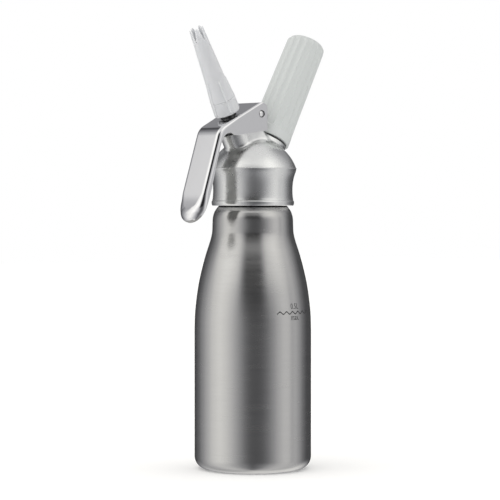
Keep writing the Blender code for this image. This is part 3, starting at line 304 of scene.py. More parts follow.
FLUTE_DEPTH = 0.0009
FLUTE_RUNOUT = 0.0010
FLUTE_PHASE = math.radians(8.8)
FLUTE_WIDTH_SHARE = 0.98
FLUTE_END_GAP = 0.0008
FLUTE_FOOT_ROUNDING = 0.0020
FLUTE_STEPS = 20
# Rows of points stand closer from the rim up to this height above the band
HOLDER_CLOSE_RISE = 0.006
HOLDER_CAP = 0.004
HOLDER_BORE_CHAMFER = 0.0004
HOLDER_EDGE_STEPS = 18
HOLDER_RIM_STEPS = 6
HOLDER_UPPER_ROWS = 40
HOLDER_LOWER_ROWS = 44
HOLDER_CREASE = math.radians(40)

# Studio: reflected brightness against degrees to the right of the camera's side, near the horizon, above
# it and below it. The limits under the tables are degrees too, from where a change starts to where it ends.
STUDIO_LOW = (
    (-180, 0.06), (-152, 0.08), (-134, 0.17), (-118, 0.38), (-100, 0.66), (-86, 0.94), (-68, 1.10),
    (-56, 0.97), (-44, 0.78), (-34, 0.57), (-24, 0.39), (-14, 0.20), (-4, 0.12), (8, 0.11),
    (18, 0.13), (28, 0.21), (40, 0.39), (52, 0.62), (64, 0.79), (76, 0.80), (84, 0.54),
    (92, 0.66), (104, 0.46), (118, 0.21), (132, 0.09), (180, 0.06),
)
STUDIO_HIGH = (
    (-180, 0.27), (-152, 0.27), (-140, 0.07), (-132, 0.12), (-120, 0.26), (-109, 0.48),
    (-101, 0.86), (-92, 1.04), (-60, 1.22), (-30, 0.92), (0, 0.80), (30, 0.90),
    (60, 1.12), (90, 0.80), (110, 0.50), (140, 0.27), (180, 0.27),
)
STUDIO_UNDER = (
    (-180, 1.00), (-150, 0.70), (-130, 0.50), (-108, 0.70), (-86, 0.90), (-62, 0.82),
    (-40, 0.58), (-20, 0.34), (0, 0.14), (20, 0.28), (40, 0.54), (60, 0.72),
    (80, 0.78), (100, 0.66), (118, 0.70), (140, 1.10), (180, 1.00),
)
STUDIO_PEAK = 1.3
HIGH_FROM = 10
HIGH_FULL = 26
OVERHEAD_FROM = 48
OVERHEAD_FULL = 66
OVERHEAD_LEVEL = 0.72
UNDER_FROM = -10
UNDER_FULL = -40
GAP_LEVEL = 0.02
GAP_HALF_WIDTH = (16, 38)
GAP_FOOT = (6, 14)
GAP_TOP = (31, 46)
SHADE_TONE = (0.965, 0.97, 1.035)
LIGHT_TONE = (1.01, 1.0, 0.975)
FLOOR_GLOW = 0.12
FLOOR_WHITE = (0.95, 0.95, 0.95)
FLOOR_ROUGHNESS = 0.6
FLOOR_REACH = 4
SKY_BASE = 0.02
SKY_TOP = 1.30
SKY_SIDES = (0.80, 0.56)
SKY_SIDE_AZIMUTH = math.radians(-70)

# Patterns of the finishes: repeats for each metre, and how far they move roughness and colour
NOISE_LOW_SHARE = 0.25
NOISE_HIGH_SHARE = 0.75
BRUSH_SCALE = 60
BRUSH_DETAIL = 1.0
BRUSH_BROAD_SCALES = (45, 45, 300)
BRUSH_BROAD_DETAIL = 4.0
BRUSH_ROUGHNESS_SHARE = 0.14
BRUSH_TINT_SHARE = 0.025
BRUSH_ROTATION = 0.25
GRAIN_DETAIL = 2.0
GRAIN_BROAD_SCALE = 70
GRAIN_BROAD_DETAIL = 3.0
GRAIN_ROUGHNESS_SHARE = 0.1
GRAIN_TINT_SHARE = 0.02

# Camera and stage
CAMERA_YAW = math.radians(-42)
CAMERA_PITCH = math.radians(1.31)
CAMERA_TARGET = (0.0, 0.0, 0.150)
CAMERA_DISTANCE = 1.5
FOCAL_PIXELS = 2187
FRAME_PIXELS = 500
SENSOR_WIDTH = 36
CENTRE_PIXEL_X = 252.8


def axis_frame(place, tilt):
    """A frame at a place whose +Z leans by tilt about Y."""
    return Matrix.Translation(place) @ Matrix.Rotation(tilt, 4, "Y")


UPRIGHT = Matrix.Identity(4)
PIVOT = axis_frame((PIVOT_OFFSET, 0, PIVOT_HEIGHT), -LEVER_TILT)
NOZZLE = PIVOT @ Matrix.Translation((-STEM_REACH, 0, PLATE_RISE))
INLET = axis_frame((HOLDER_OFFSET, 0, HOLDER_RIM_HEIGHT), HOLDER_TILT)

# Lever's own directions and corners, in lever coordinates
HANDLE_ALONG = Vector((-math.cos(HANDLE_BEND), -math.sin(HANDLE_BEND)))
HANDLE_INWARD = Vector((math.sin(HANDLE_BEND), -math.cos(HANDLE_BEND)))
PLATE_CORNER = Vector((-PLATE_REACH, PLATE_RISE))
EAR_TAIL = (EAR_REAR_OFFSET + PLATE_RISE * math.sin(LEVER_TILT)) / math.cos(LEVER_TILT)


# Outlines


def arc(centre, radius_x, radius_y, start, end, count):
    """Points on an arc, from one angle to another, both ends included."""
    angles = np.linspace(start, end, count + 1)
    return [(centre[0] + radius_x * math.cos(a), centre[1] + radius_y * math.sin(a)) for a in angles]


def smooth(points, count):
    """A Catmull-Rom curve through the points, with count steps between neighbours."""
    points = [Vector(p) for p in points]
    ends = [2 * points[0] - points[1]] + points + [2 * points[-1] - points[-2]]
    made = []
    for a, b, c, d in zip(ends, ends[1:], ends[2:], ends[3:]):
        for i in range(count):
            t = i / count
            made.append(tuple(b + (c - a) * t / 2 + (a - b * 2.5 + c * 2 - d / 2) * t * t
                              + (b * 1.5 - a / 2 - c * 1.5 + d / 2) * t ** 3))
    return made + [tuple(points[-1])]


def inset(outline, distance):
    """The outline moved inwards, square to itself."""
    moved = []
    for i, point in enumerate(outline):
        before = Vector(outline[max(i - 1, 0)])
        after = Vector(outline[min(i + 1, len(outline) - 1)])
        along = (after - before).normalized()
        moved.append((point[0] + along.y * distance, point[1] - along.x * distance))
    return moved


def eased(outline):
    """The open outline with sharp corners rounded, each by at most a third of a neighbouring side."""
    made = [outline[0]]
    for point, previous, following in zip(outline[1:-1], outline, outline[2:]):
        corner = Vector(point)
        back, ahead = Vector(previous) - corner, Vector(following) - corner
        if min(back.length, ahead.length) < MERGE_DISTANCE or back.angle(-ahead) < SHARP_CORNER:
            made.append(point)
            continue
        reach = min(EDGE_ROUNDING, back.length / 3, ahead.length / 3)
        start, end = corner + back.normalized() * reach, corner + ahead.normalized() * reach
        for k in range(EASE_STEPS + 1):
            t = k / EASE_STEPS
            made.append(tuple(start * (1 - t) ** 2 + corner * 2 * t * (1 - t) + end * t * t))
    return made + [outline[-1]]


def line(start, end, shares):
    """Points on a straight stretch, at shares of its length."""
    return [tuple(a + (b - a) * share for a, b in zip(start, end)) for share in shares]


def stepped(levels, radii):
    """Outline of a round rod or bore with square steps, from its first level to its last."""
    made = []
    for level, before, after in zip(levels, (0, *radii), (*radii, 0)):
        made += [(before, level), (after, level)]
    return made


def mirrored(outline):
    """An outline carried on by its mirror image below."""
    return outline + [(r, -z) for r, z in reversed(outline)]


# Meshes


def object_from(name, vertices, faces):
    """A mesh object from points and faces."""
    mesh = bpy.data.meshes.new(name)
    mesh.from_pydata([tuple(v) for v in vertices], [], faces)
    made = bpy.data.objects.new(name, mesh)
    bpy.context.scene.collection.objects.link(made)
    return made


def clean(thing, recalculate=True):
    """Merges doubles, drops empty faces and turns the faces outwards."""
    shell = bmesh.new()
    shell.from_mesh(thing.data)
    bmesh.ops.remove_doubles(shell, verts=shell.verts, dist=MERGE_DISTANCE)
    bmesh.ops.dissolve_degenerate(shell, edges=shell.edges, dist=MERGE_DISTANCE)
    if recalculate:
        bmesh.ops.recalc_face_normals(shell, faces=shell.faces)
    shell.to_mesh(thing.data)
    shell.free()
    return thing


def grid_faces(rows, columns, wrap_rows=False, wrap_columns=False):
    """Quads of a grid whose points are listed row by row."""
    faces = []
    for i in range(rows if wrap_rows else rows - 1):
        for j in range(columns if wrap_columns else columns - 1):
            a, b = i, (i + 1) % rows
            c, d = j, (j + 1) % columns
            faces.append((a * columns + c, b * columns + c, b * columns + d, a * columns + d))
    return faces


def turned(name, outline, steps, closed=False):
    """Turns an outline of (radius, height) points round local Z."""
    angles = np.arange(steps) * 2 * math.pi / steps
    vertices = [(r * math.cos(a), r * math.sin(a), z) for r, z in outline for a in angles]
    return clean(object_from(name, vertices, grid_faces(len(outline), steps, closed, True)))


def prism(name, first, last):
    """A closed solid between two like outlines."""
    count = len(first)
    faces = [(i, (i + 1) % count, count + (i + 1) % count, count + i) for i in range(count)]
    faces += [tuple(range(count)), tuple(reversed(range(count, 2 * count)))]
    return clean(object_from(name, first + last, faces))


def placed(thing, matrix):
    """Moves a mesh to its place in the shared frame."""
    thing.data.transform(matrix)
    return thing


def baked(thing):
    """Applies an object's modifiers to its mesh."""
    bpy.context.view_layer.update()
    graph = bpy.context.evaluated_depsgraph_get()
    mesh = bpy.data.meshes.new_from_object(thing.evaluated_get(graph))
    thing.modifiers.clear()
    thing.data = mesh
    return thing


def combined(target, tools, operation):
    """Joins tools to a piece or cuts them from it, and removes the tools."""
    for tool in tools:
        step = target.modifiers.new(tool.name, "BOOLEAN")
        step.operation = operation
        step.object = tool
        step.solver = "EXACT"
    baked(target)
    for tool in tools:
        bpy.data.objects.remove(tool, do_unlink=True)
    return clean(target, recalculate=False)


def cross_rod(name, outline, steps=SMALL_STEPS):
    """A turned piece laid along local Y."""
    return placed(turned(name, outline, steps), Matrix.Rotation(math.pi / 2, 4, "X"))


def thread(name, radius, depth, start, pitch, turns):
    """A V-shaped ridge wound round local Z that fades away at both ends."""
    count = round(THREAD_STEPS * turns)
    columns = len(THREAD_SECTION_SHARES)
    vertices = []
    for i in range(count + 1):
        angle = 2 * math.pi * turns * i / count
        height = start + pitch * turns * i / count
        fade = min(1.0, min(i, count - i) / (THREAD_FADE_SHARE * count) + THREAD_LEAST_SHARE)
        for out, up in THREAD_SECTION_SHARES:
            r = radius + depth * out * (fade if out > 0 else 1)
            vertices.append((r * math.cos(angle), r * math.sin(angle), height + depth * up * fade))
    faces = grid_faces(count + 1, columns, False, True) + [tuple(reversed(range(columns)))]
    faces.append(tuple(range(count * columns, (count + 1) * columns)))
    return clean(object_from(name, vertices, faces))


# Geometry Nodes


def node_tree(name, sockets):
    """A Geometry Nodes group with one geometry in, one out, and named number inputs with defaults."""
    tree = bpy.data.node_groups.new(name, "GeometryNodeTree")
    tree.interface.new_socket("Geometry", in_out="INPUT", socket_type="NodeSocketGeometry")
    tree.interface.new_socket("Geometry", in_out="OUTPUT", socket_type="NodeSocketGeometry")
    for label, kind in sockets.items():
        tree.interface.new_socket(label, in_out="INPUT", socket_type=kind)
    return tree


def add(tree, kind, inputs=None, **settings):
    """Adds a node, sets its properties, and links or sets its inputs by name or index."""
    node = tree.nodes.new(kind)
    for key, value in settings.items():
        setattr(node, key, value)
    for key, value in (inputs or {}).items():
        socket = node.inputs[key]
        if isinstance(value, bpy.types.NodeSocket):
            tree.links.new(value, socket)
        else:
            socket.default_value = value
    return node


def maths(tree, operation, *values, clamp=False):
    """A Math node's result."""
    inputs = dict(enumerate(values))
    return add(tree, "ShaderNodeMath", inputs, operation=operation, use_clamp=clamp).outputs[0]


def wearing(tree, geometry, material):
    """Ends a node group with real geometry that wears a material."""
    whole = add(tree, "GeometryNodeRealizeInstances", {0: geometry}).outputs[0]
    dressed = add(tree, "GeometryNodeSetMaterial", {0: whole, "Material": material}).outputs[0]
    add(tree, "NodeGroupOutput", {0: dressed})
    return tree


def run_nodes(thing, tree, values):
    """Runs a node group on an object with its named inputs set, and keeps the resulting mesh."""
    modifier = thing.modifiers.new(tree.name, "NODES")
    modifier.node_group = tree
    for item in tree.interface.items_tree:
        if item.in_out == "INPUT" and item.name in values:
            modifier[item.identifier] = values[item.name]
    return baked(thing)


def radial_pattern_tree():
    """Raises or sinks a count of equal bands round local Z, with round run-outs at their lower ends."""
    number, whole = "NodeSocketFloat", "NodeSocketInt"
    tree = node_tree("radial_pattern", {
        "Count": whole, "Phase": number, "Lift": number, "Width Share": number, "Low": number, "High": number,
        "Run-out": number, "Round": number, "Hollow": number, "Material": "NodeSocketMaterial",
    })
    given = tree.nodes.new("NodeGroupInput").outputs
    place = add(tree, "GeometryNodeInputPosition").outputs[0]
    parts = add(tree, "ShaderNodeSeparateXYZ", {0: place}).outputs
    angle = maths(tree, "SUBTRACT", maths(tree, "ARCTAN2", parts[1], parts[0]), given["Phase"])
    turns = maths(tree, "MULTIPLY", maths(tree, "DIVIDE", angle, 2 * math.pi), given["Count"])
    nearest = maths(tree, "FRACT", maths(tree, "ADD", turns, 0.5))
    offset = maths(tree, "ABSOLUTE", maths(tree, "SUBTRACT", nearest, 0.5))
    across = maths(tree, "DIVIDE", offset, maths(tree, "MULTIPLY", given["Width Share"], 0.5))
    bow = maths(tree, "SUBTRACT", 1.0, maths(tree, "POWER", across, 2.0), clamp=True)
    plateau = maths(tree, "MULTIPLY", maths(tree, "SUBTRACT", 1.0, across, clamp=True), 3.0, clamp=True)
    shape = add(tree, "ShaderNodeMix", {0: given["Hollow"], 2: plateau, 3: bow}, data_type="FLOAT").outputs[0]
    curl = maths(tree, "SUBTRACT", 1.0, maths(tree, "SQRT", bow))
    low = maths(tree, "ADD", given["Low"], maths(tree, "MULTIPLY", curl, given["Round"]))
    rise = maths(tree, "DIVIDE", maths(tree, "SUBTRACT", parts[2], low), given["Run-out"], clamp=True)
    left = maths(tree, "SUBTRACT", given["High"], parts[2])
    fall = maths(tree, "DIVIDE", left, given["Run-out"], clamp=True)
    reach = maths(tree, "MULTIPLY", maths(tree, "MULTIPLY", rise, fall), shape)
    flat = add(tree, "ShaderNodeCombineXYZ", {0: parts[0], 1: parts[1]}).outputs[0]
    radius = add(tree, "ShaderNodeVectorMath", {0: flat}, operation="LENGTH").outputs["Value"]
    amount = maths(tree, "DIVIDE", maths(tree, "MULTIPLY", reach, given["Lift"]), radius)
    shift = add(tree, "ShaderNodeVectorMath", {0: flat, "Scale": amount}, operation="SCALE").outputs[0]
    moved = add(tree, "GeometryNodeSetPosition", {"Geometry": given["Geometry"], "Offset": shift}).outputs[0]
    return wearing(tree, moved, given["Material"])


def coil_tree():
    """An open coil of round wire along local Z."""
    number, whole = "NodeSocketFloat", "NodeSocketInt"
    tree = node_tree("wire_coil", {
        "Coil Radius": number, "Wire Radius": number, "Height": number, "Turns": number, "Steps": whole,
        "Material": "NodeSocketMaterial",
    })
    given = tree.nodes.new("NodeGroupInput").outputs
    spiral = add(tree, "GeometryNodeCurveSpiral", {
        "Resolution": given["Steps"], "Rotations": given["Turns"], "Start Radius": given["Coil Radius"],
        "End Radius": given["Coil Radius"], "Height": given["Height"]}).outputs[0]
    wire = add(tree, "GeometryNodeCurvePrimitiveCircle", {
        "Resolution": WIRE_STEPS, "Radius": given["Wire Radius"]}).outputs[0]
    swept = add(tree, "GeometryNodeCurveToMesh", {"Curve": spiral, "Profile Curve": wire, "Fill Caps": True})
    return wearing(tree, swept.outputs[0], given["Material"])


# Materials


def finish(name, colour, roughness, metallic, **sockets):
    """A Principled material with its constants set on the shader's own sockets."""
    made = bpy.data.materials.new(name)
    made.use_nodes = True
    shader = made.node_tree.nodes["Principled BSDF"]
    shader.inputs["Base Color"].default_value = (*colour, 1.0)
    shader.inputs["Roughness"].default_value = roughness
    shader.inputs["Metallic"].default_value = metallic
    for label, value in sockets.items():
        shader.inputs[label.replace("_", " ")].default_value = value
    return made


def feed(material, label, result):
    """Links a node's result to a socket of the material's shader."""
    tree = material.node_tree
    tree.links.new(result, tree.nodes["Principled BSDF"].inputs[label])


def pattern(material, matrix, scale, detail):
    """Noise on Object coordinates, measured in the frame of a piece's own axis."""
    tree = material.node_tree
    place = add(tree, "ShaderNodeTexCoord").outputs["Object"]
    turn = matrix.inverted()
    placing = {0: place, "Location": turn.translation, "Rotation": turn.to_euler()}
    local = add(tree, "ShaderNodeMapping", placing).outputs[0]
    stretched = add(tree, "ShaderNodeMapping", {0: local, "Scale": scale}).outputs[0]
    noise = add(tree, "ShaderNodeTexNoise", {"Vector": stretched, "Scale": 1.0, "Detail": detail})
    return noise.outputs["Fac"]


def vary(material, noise, roughness, share):
    """Lets noise move the roughness by a share of it to either side."""
    low, high = roughness * (1 - share), roughness * (1 + share)
    limits = {0: noise, 1: NOISE_LOW_SHARE, 2: NOISE_HIGH_SHARE, 3: low, 4: high}
    feed(material, "Roughness", add(material.node_tree, "ShaderNodeMapRange", limits).outputs[0])


def tint(material, noise, colour, share):
    """Lets noise move the colour by a share of it to either side."""
    dark, light = ((*(min(1, c * (1 + way * share)) for c in colour), 1) for way in (-1, 1))
    mixed = add(material.node_tree, "ShaderNodeMix", {0: noise, 6: dark, 7: light}, data_type="RGBA")
    feed(material, "Base Color", mixed.outputs[2])


def raise_grain(material, noise, depth):
    """Lets noise move the surface by a real depth."""
    bump = add(material.node_tree, "ShaderNodeBump", {"Strength": 1.0, "Distance": depth, "Height": noise})
    feed(material, "Normal", bump.outputs[0])


def brushed(name, colour, roughness, frame_of_piece, lines, depth, anisotropy=0.0):
    """Metal with fine lines round the axis of a piece's frame."""
    made = finish(name, colour, roughness, 1.0, Anisotropic=anisotropy, Anisotropic_Rotation=BRUSH_ROTATION)
    fine = pattern(made, frame_of_piece, (BRUSH_SCALE, BRUSH_SCALE, lines), BRUSH_DETAIL)
    broad = pattern(made, frame_of_piece, BRUSH_BROAD_SCALES, BRUSH_BROAD_DETAIL)
    vary(made, broad, roughness, BRUSH_ROUGHNESS_SHARE)
    tint(made, fine, colour, BRUSH_TINT_SHARE)
    raise_grain(made, fine, depth)
    if anisotropy:
        tangent = add(made.node_tree, "ShaderNodeTangent", direction_type="RADIAL", axis="Z")
        feed(made, "Tangent", tangent.outputs[0])
    return made


def grained(name, colour, roughness, metallic, grain, depth, speckle=GRAIN_TINT_SHARE, **sockets):
    """A surface with an even, fine grain."""
    made = finish(name, colour, roughness, metallic, **sockets)
    fine = pattern(made, UPRIGHT, (1 / grain,) * 3, GRAIN_DETAIL)
    broad = pattern(made, UPRIGHT, (GRAIN_BROAD_SCALE,) * 3, GRAIN_BROAD_DETAIL)
    vary(made, broad, roughness, GRAIN_ROUGHNESS_SHARE)
    tint(made, fine, colour, speckle)
    raise_grain(made, fine, depth)
    return made


def matt_and_painted_shade_where_marked(material, attribute, roughness, colour):
    """Makes the marked faces of a bright metal matt, and greys their colour as painted shade."""
    tree = material.node_tree
    inputs = tree.nodes["Principled BSDF"].inputs
    mark = add(tree, "ShaderNodeAttribute", attribute_name=attribute).outputs["Fac"]
    polished, bright = (inputs[label].links[0].from_socket for label in ("Roughness", "Base Color"))
    mixed = add(tree, "ShaderNodeMix", {0: mark, 2: polished, 3: roughness}, data_type="FLOAT").outputs[0]
    feed(material, "Roughness", mixed)
    # The grey colour on the marked faces is painted shade.
    painted_shade_colour = add(tree, "ShaderNodeMix", {0: mark, 6: bright, 7: (*colour, 1)}, data_type="RGBA").outputs[2]
    feed(material, "Base Color", painted_shade_colour)


BOTTLE_STEEL = brushed("brushed_bottle_steel", (0.56, 0.557, 0.55), 0.25, UPRIGHT, lines=1300,
                       depth=0.0000002, anisotropy=0.5)
SATIN_ALUMINIUM = grained("satin_aluminium", (0.85, 0.858, 0.85), 0.27, metallic=1.0, grain=0.0008,
                          depth=0.000013, speckle=0.10)
POLISHED_STEEL = grained("polished_steel", (0.84, 0.84, 0.85), 0.07, metallic=1.0, grain=0.003,
                         depth=0.0000004)
# The lever's inner side is matt, and greyed as painted shade so that it shows less lit in the head's
# reflections.
matt_and_painted_shade_where_marked(POLISHED_STEEL, INNER_MATT_AND_SHADE, roughness=0.50, colour=(0.57, 0.57, 0.56))
PIN_STEEL = brushed("pin_steel", (0.92, 0.92, 0.92), 0.12, UPRIGHT, lines=2000, depth=0.0000005)
# The stem's steel is near-black: painted shade for the dark gap under the tip, not the steel's own colour.
STEM_STEEL_PAINTED_SHADE = grained("stem_steel", (0.14, 0.14, 0.142), 0.35, metallic=0.8, grain=0.0008, depth=0.000002)
SPRING_STEEL = grained("spring_steel", (0.55, 0.55, 0.56), 0.25, metallic=1.0, grain=0.0006, depth=0.000004)
WASHER_STEEL = brushed("washer_steel", (0.62, 0.62, 0.62), 0.3, NOZZLE, lines=2000, depth=0.000004)
CHARGER_STEEL = brushed("charger_steel", (0.60, 0.60, 0.62), 0.28, INLET, lines=2000, depth=0.000004)
LINER_ALUMINIUM = brushed("liner_aluminium", (0.72, 0.73, 0.74), 0.3, INLET, lines=2000, depth=0.000004)
TIP_PLASTIC = grained("white_tip_plastic", (0.64, 0.65, 0.67), 0.30, metallic=0.0, grain=0.001,
                      depth=0.000002, Subsurface_Weight=1.0, Subsurface_Radius=(0.002, 0.002, 0.002),
                      Subsurface_Scale=1.0)
HOLDER_PLASTIC = grained("white_holder_plastic", (0.60, 0.625, 0.62), 0.34, metallic=0.0, grain=0.001,
                         depth=0.000002)
BLACK_RUBBER = grained("black_rubber", (0.035, 0.035, 0.037), 0.62, metallic=0.0, grain=0.001, depth=0.00002)
ETCHED_MARK = grained("etched_mark", (0.03, 0.03, 0.033), 0.6, metallic=0.0, grain=0.0006, depth=0.000005)


def piece(thing, body, nodes, material, crease=CREASE):
    """Dresses a finished mesh, and says what it rides on, which solids it stands for and its finish."""
    thing.data.materials.clear()
    thing.data.materials.append(material)
    thing.data.shade_smooth()
    thing.data.set_sharp_from_angle(angle=crease)
    level = thing.modifiers.new("level", "WEIGHTED_NORMAL")
    level.keep_sharp = True
    baked(thing)
    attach(thing, body)
    if nodes:
        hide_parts(*nodes)
    return thing


# Bottle


def bottle_side():
    """Outer side of the bottle, from the foot of the neck's bead down to the middle of the base."""
    rise = SHOULDER_HEIGHT - STRAIGHT_HEIGHT
    swell = BOTTLE_RADIUS - THROAT_RADIUS
    shoulder = [(BOTTLE_RADIUS - swell * i, STRAIGHT_HEIGHT + rise * r)
                for r, i in zip(SHOULDER_RISE_SHARES, SHOULDER_INSET_SHARES)]
    outline = smooth([(NECK_RADIUS, BEAD_TOP)] + list(BEAD_OUTLINE) + list(reversed(shoulder)), SIDE_STEPS)
    outline.append((BOTTLE_RADIUS, STRAIGHT_HEIGHT / 2))
    corner = (BOTTLE_RADIUS - BOTTLE_CORNER_RADIUS, BOTTLE_CORNER_RADIUS)
    outline += arc(corner, BOTTLE_CORNER_RADIUS, BOTTLE_CORNER_RADIUS, 0, -math.pi / 2, ARC_STEPS)
    return outline


def make_bottle():
    """Drawn bottle with a threaded neck and a slightly dished base."""
    side = bottle_side()
    neck_bore = NECK_RADIUS - NECK_WALL
    wall = [p for p in inset(side, BOTTLE_WALL) if p[1] < BEAD_TOP - NECK_WALL]
    inner = [(0, BOTTLE_WALL)] + list(reversed(wall))
    lip = [(neck_bore, BEAD_TOP - NECK_WALL), (neck_bore, LIP_HEIGHT), (NECK_RADIUS, LIP_HEIGHT)]
    dish = [(BASE_DISH_RADIUS + BASE_DISH_DEPTH, 0), (BASE_DISH_RADIUS - BASE_DISH_DEPTH, BASE_DISH_DEPTH),
            (0, BASE_DISH_DEPTH)]
    bottle = turned("fine_bottle", inner + eased(lip) + side + eased(dish), BOTTLE_STEPS)
    ridge = thread("neck_thread", NECK_RADIUS, NECK_THREAD_DEPTH, NECK_THREAD_START, NECK_THREAD_PITCH,
                   NECK_THREAD_TURNS)
    combined(bottle, [ridge], "UNION")
    return piece(bottle, "bottle", ["bottle"], BOTTLE_STEEL)


def wall_radius(height):
    """Radius of the bottle's outer side at a height."""
    side = sorted(bottle_side(), key=lambda p: p[1])
    return float(np.interp(height, [p[1] for p in side], [p[0] for p in side]))


def on_wall(angle, height):
    """Point on the bottle's wall, by the angle to the right of the side that faces the camera."""
    turn = CAMERA_YAW - math.pi / 2 + angle
    radius = wall_radius(height) + SKIN
    return radius * math.cos(turn), radius * math.sin(turn), height


def word_on_wall(text, size, rise):
    """A word's mesh, bent round the bottle at a rise above the fill line."""
    curve = bpy.data.curves.new(text, "FONT")
    curve.body = text
    curve.size = size
    curve.resolution_u = LETTER_STEPS
    letters = bpy.data.objects.new(text, curve)
    bpy.context.scene.collection.objects.link(letters)
    bpy.context.view_layer.update()
    mesh = bpy.data.meshes.new_from_object(letters.evaluated_get(bpy.context.evaluated_depsgraph_get()))
    bpy.data.objects.remove(letters, do_unlink=True)
    shell = bmesh.new()
    shell.from_mesh(mesh)
    long_edges = [edge for edge in shell.edges if edge.calc_length() > size / LETTER_STEPS]
    bmesh.ops.subdivide_edges(shell, edges=long_edges, cuts=LETTER_CUTS)
    bmesh.ops.triangulate(shell, faces=shell.faces)
    left, right = (end(point.co.x for point in shell.verts) for end in (min, max))
    foot, head = (end(point.co.y for point in shell.verts) for end in (min, max))
    for point in shell.verts:
        across = ((point.co.x - left) / (right - left) - 0.5) * FILL_TEXT_WIDTH
        up = (point.co.y - foot) / (head - foot) * size
        point.co = on_wall(FILL_TEXT_ANGLE + across / wall_radius(FILL_HEIGHT), FILL_HEIGHT + rise + up)
    shell.to_mesh(mesh)
    shell.free()
    return mesh


def make_fill_mark():
    """Etched wavy fill line with its plain capacity mark."""
    vertices = []
    for i in range(FILL_STEPS + 1):
        share = i / FILL_STEPS
        angle = FILL_START + (FILL_END - FILL_START) * share
        wave = FILL_WAVE_HEIGHT * math.sin(2 * math.pi * FILL_WAVES * share + FILL_WAVE_PHASE)
        for side in (-0.5, 0.5):
            vertices.append(on_wall(angle, FILL_HEIGHT + wave + side * FILL_LINE_WIDTH))
    mark = object_from("fill_mark", vertices, grid_faces(FILL_STEPS + 1, 2))
    shell = bmesh.new()
    shell.from_mesh(mark.data)
    for word in FILL_WORDS:
        shell.from_mesh(word_on_wall(*word))
    for face in shell.faces:
        face.normal_update()
        if face.normal.dot(Vector((*face.calc_center_median().xy, 0))) < 0:
            face.normal_flip()
    shell.to_mesh(mark.data)
    shell.free()
    return piece(mark, "bottle", [], ETCHED_MARK)


# Head


def local_points(points, matrix):
    """World points in a frame, as three arrays."""
    inverse = np.array(matrix.inverted())
    return tuple(points @ inverse[:3, :3].T[:, k] + inverse[k, 3] for k in range(3))


def rounded_corner_distance(across, along, rounding):
    """Distance to a solid bounded by two square faces that meet in a rounded edge."""
    a, b = across + rounding, along + rounding
    outside = np.sqrt(np.maximum(a, 0) ** 2 + np.maximum(b, 0) ** 2)
    return np.minimum(np.maximum(a, b), 0) + outside - rounding


def polygon_distance(x, z, outline):
    """Signed distance to a flat outline."""
    best = np.full(x.shape, np.inf)
    inside = np.zeros(x.shape, bool)
    for (ax, az), (bx, bz) in zip(outline, outline[1:] + outline[:1]):
        ex, ez = bx - ax, bz - az
        share = np.clip(((x - ax) * ex + (z - az) * ez) / (ex * ex + ez * ez), 0, 1)
        best = np.minimum(best, np.hypot(x - ax - ex * share, z - az - ez * share))
        crosses = (az > z) != (bz > z)
        if ez:
            inside ^= crosses & (x < ex * (z - az) / ez + ax)
    return np.where(inside, -best, best)


def blended(a, b, fillet):
    """Joins two distances with a fillet."""
    mix = np.maximum(fillet - np.abs(a - b), 0) / fillet
    return np.minimum(a, b) - mix * mix * fillet / 4


def saddle_outline():
    """Side view of the saddle between the ears, in lever coordinates."""
    lug, foot = SADDLE_LUG_RADIUS, SADDLE_FOOT_DEPTH
    boss_rear = FRONT_BOSS_RADIUS - STEM_REACH
    boss_top = PLATE_RISE + FRONT_BOSS_TOP
    rear_tangent = -LEVER_TILT - SADDLE_REAR_RAKE
    front_tangent = math.pi - math.atan2(lug - boss_top, boss_rear)
    outline = arc((0, 0), lug, lug, rear_tangent, front_tangent * SADDLE_CREST_SHARE, SADDLE_STEPS)
    outline += [(boss_rear, boss_top), (-STEM_REACH, boss_top - lug), (-STEM_REACH, -foot)]
    outline.append((-lug, -foot - lug))
    tail = Vector((lug, 0))
    tail.rotate(Matrix.Rotation(rear_tangent, 2))
    down = Vector((math.sin(rear_tangent), -math.cos(rear_tangent)))
    outward = Vector((-down.y, down.x))
    return outline + [tuple(tail + down * foot + outward * SADDLE_TAIL), tuple(tail + down * lug * 2)]


def dome_centre():
    """Height of the centre of the dome's sphere."""
    foot = RIDGE_RADIUS - RIDGE_LEDGE
    return RIDGE_LEVEL - math.sqrt(DOME_RADIUS ** 2 - foot ** 2)


def head_distance(points, outline):
    """Signed distance to the dome with its saddle and bosses."""
    dome = np.linalg.norm(points - np.array((0, 0, dome_centre())), axis=1) - DOME_RADIUS
    x, y, z = local_points(points, PIVOT)
    flank = np.abs(y) - SADDLE_HALF_WIDTH
    saddle = rounded_corner_distance(polygon_distance(x, z, outline), flank, BOSS_ROUNDING)
    x, y, z = local_points(points, NOZZLE)
    front = rounded_corner_distance(np.hypot(x, y) - FRONT_BOSS_RADIUS, z - FRONT_BOSS_TOP, BOSS_ROUNDING)
    x, y, z = local_points(points, INLET)
    rear = rounded_corner_distance(np.hypot(x, y) - REAR_BOSS_RADIUS, z - REAR_BOSS_TOP, BOSS_ROUNDING)
    upper = blended(blended(saddle, front, BOSS_FILLET), rear, REAR_BOSS_FILLET)
    return blended(dome, upper, DOME_FILLET)


def head_ring(radius, height):
    """One ring of the head's points."""
    turns = np.arange(HEAD_COLUMNS) * 2 * math.pi / HEAD_COLUMNS
    return np.stack([radius * np.cos(turns), radius * np.sin(turns), np.full(HEAD_COLUMNS, height)], 1)


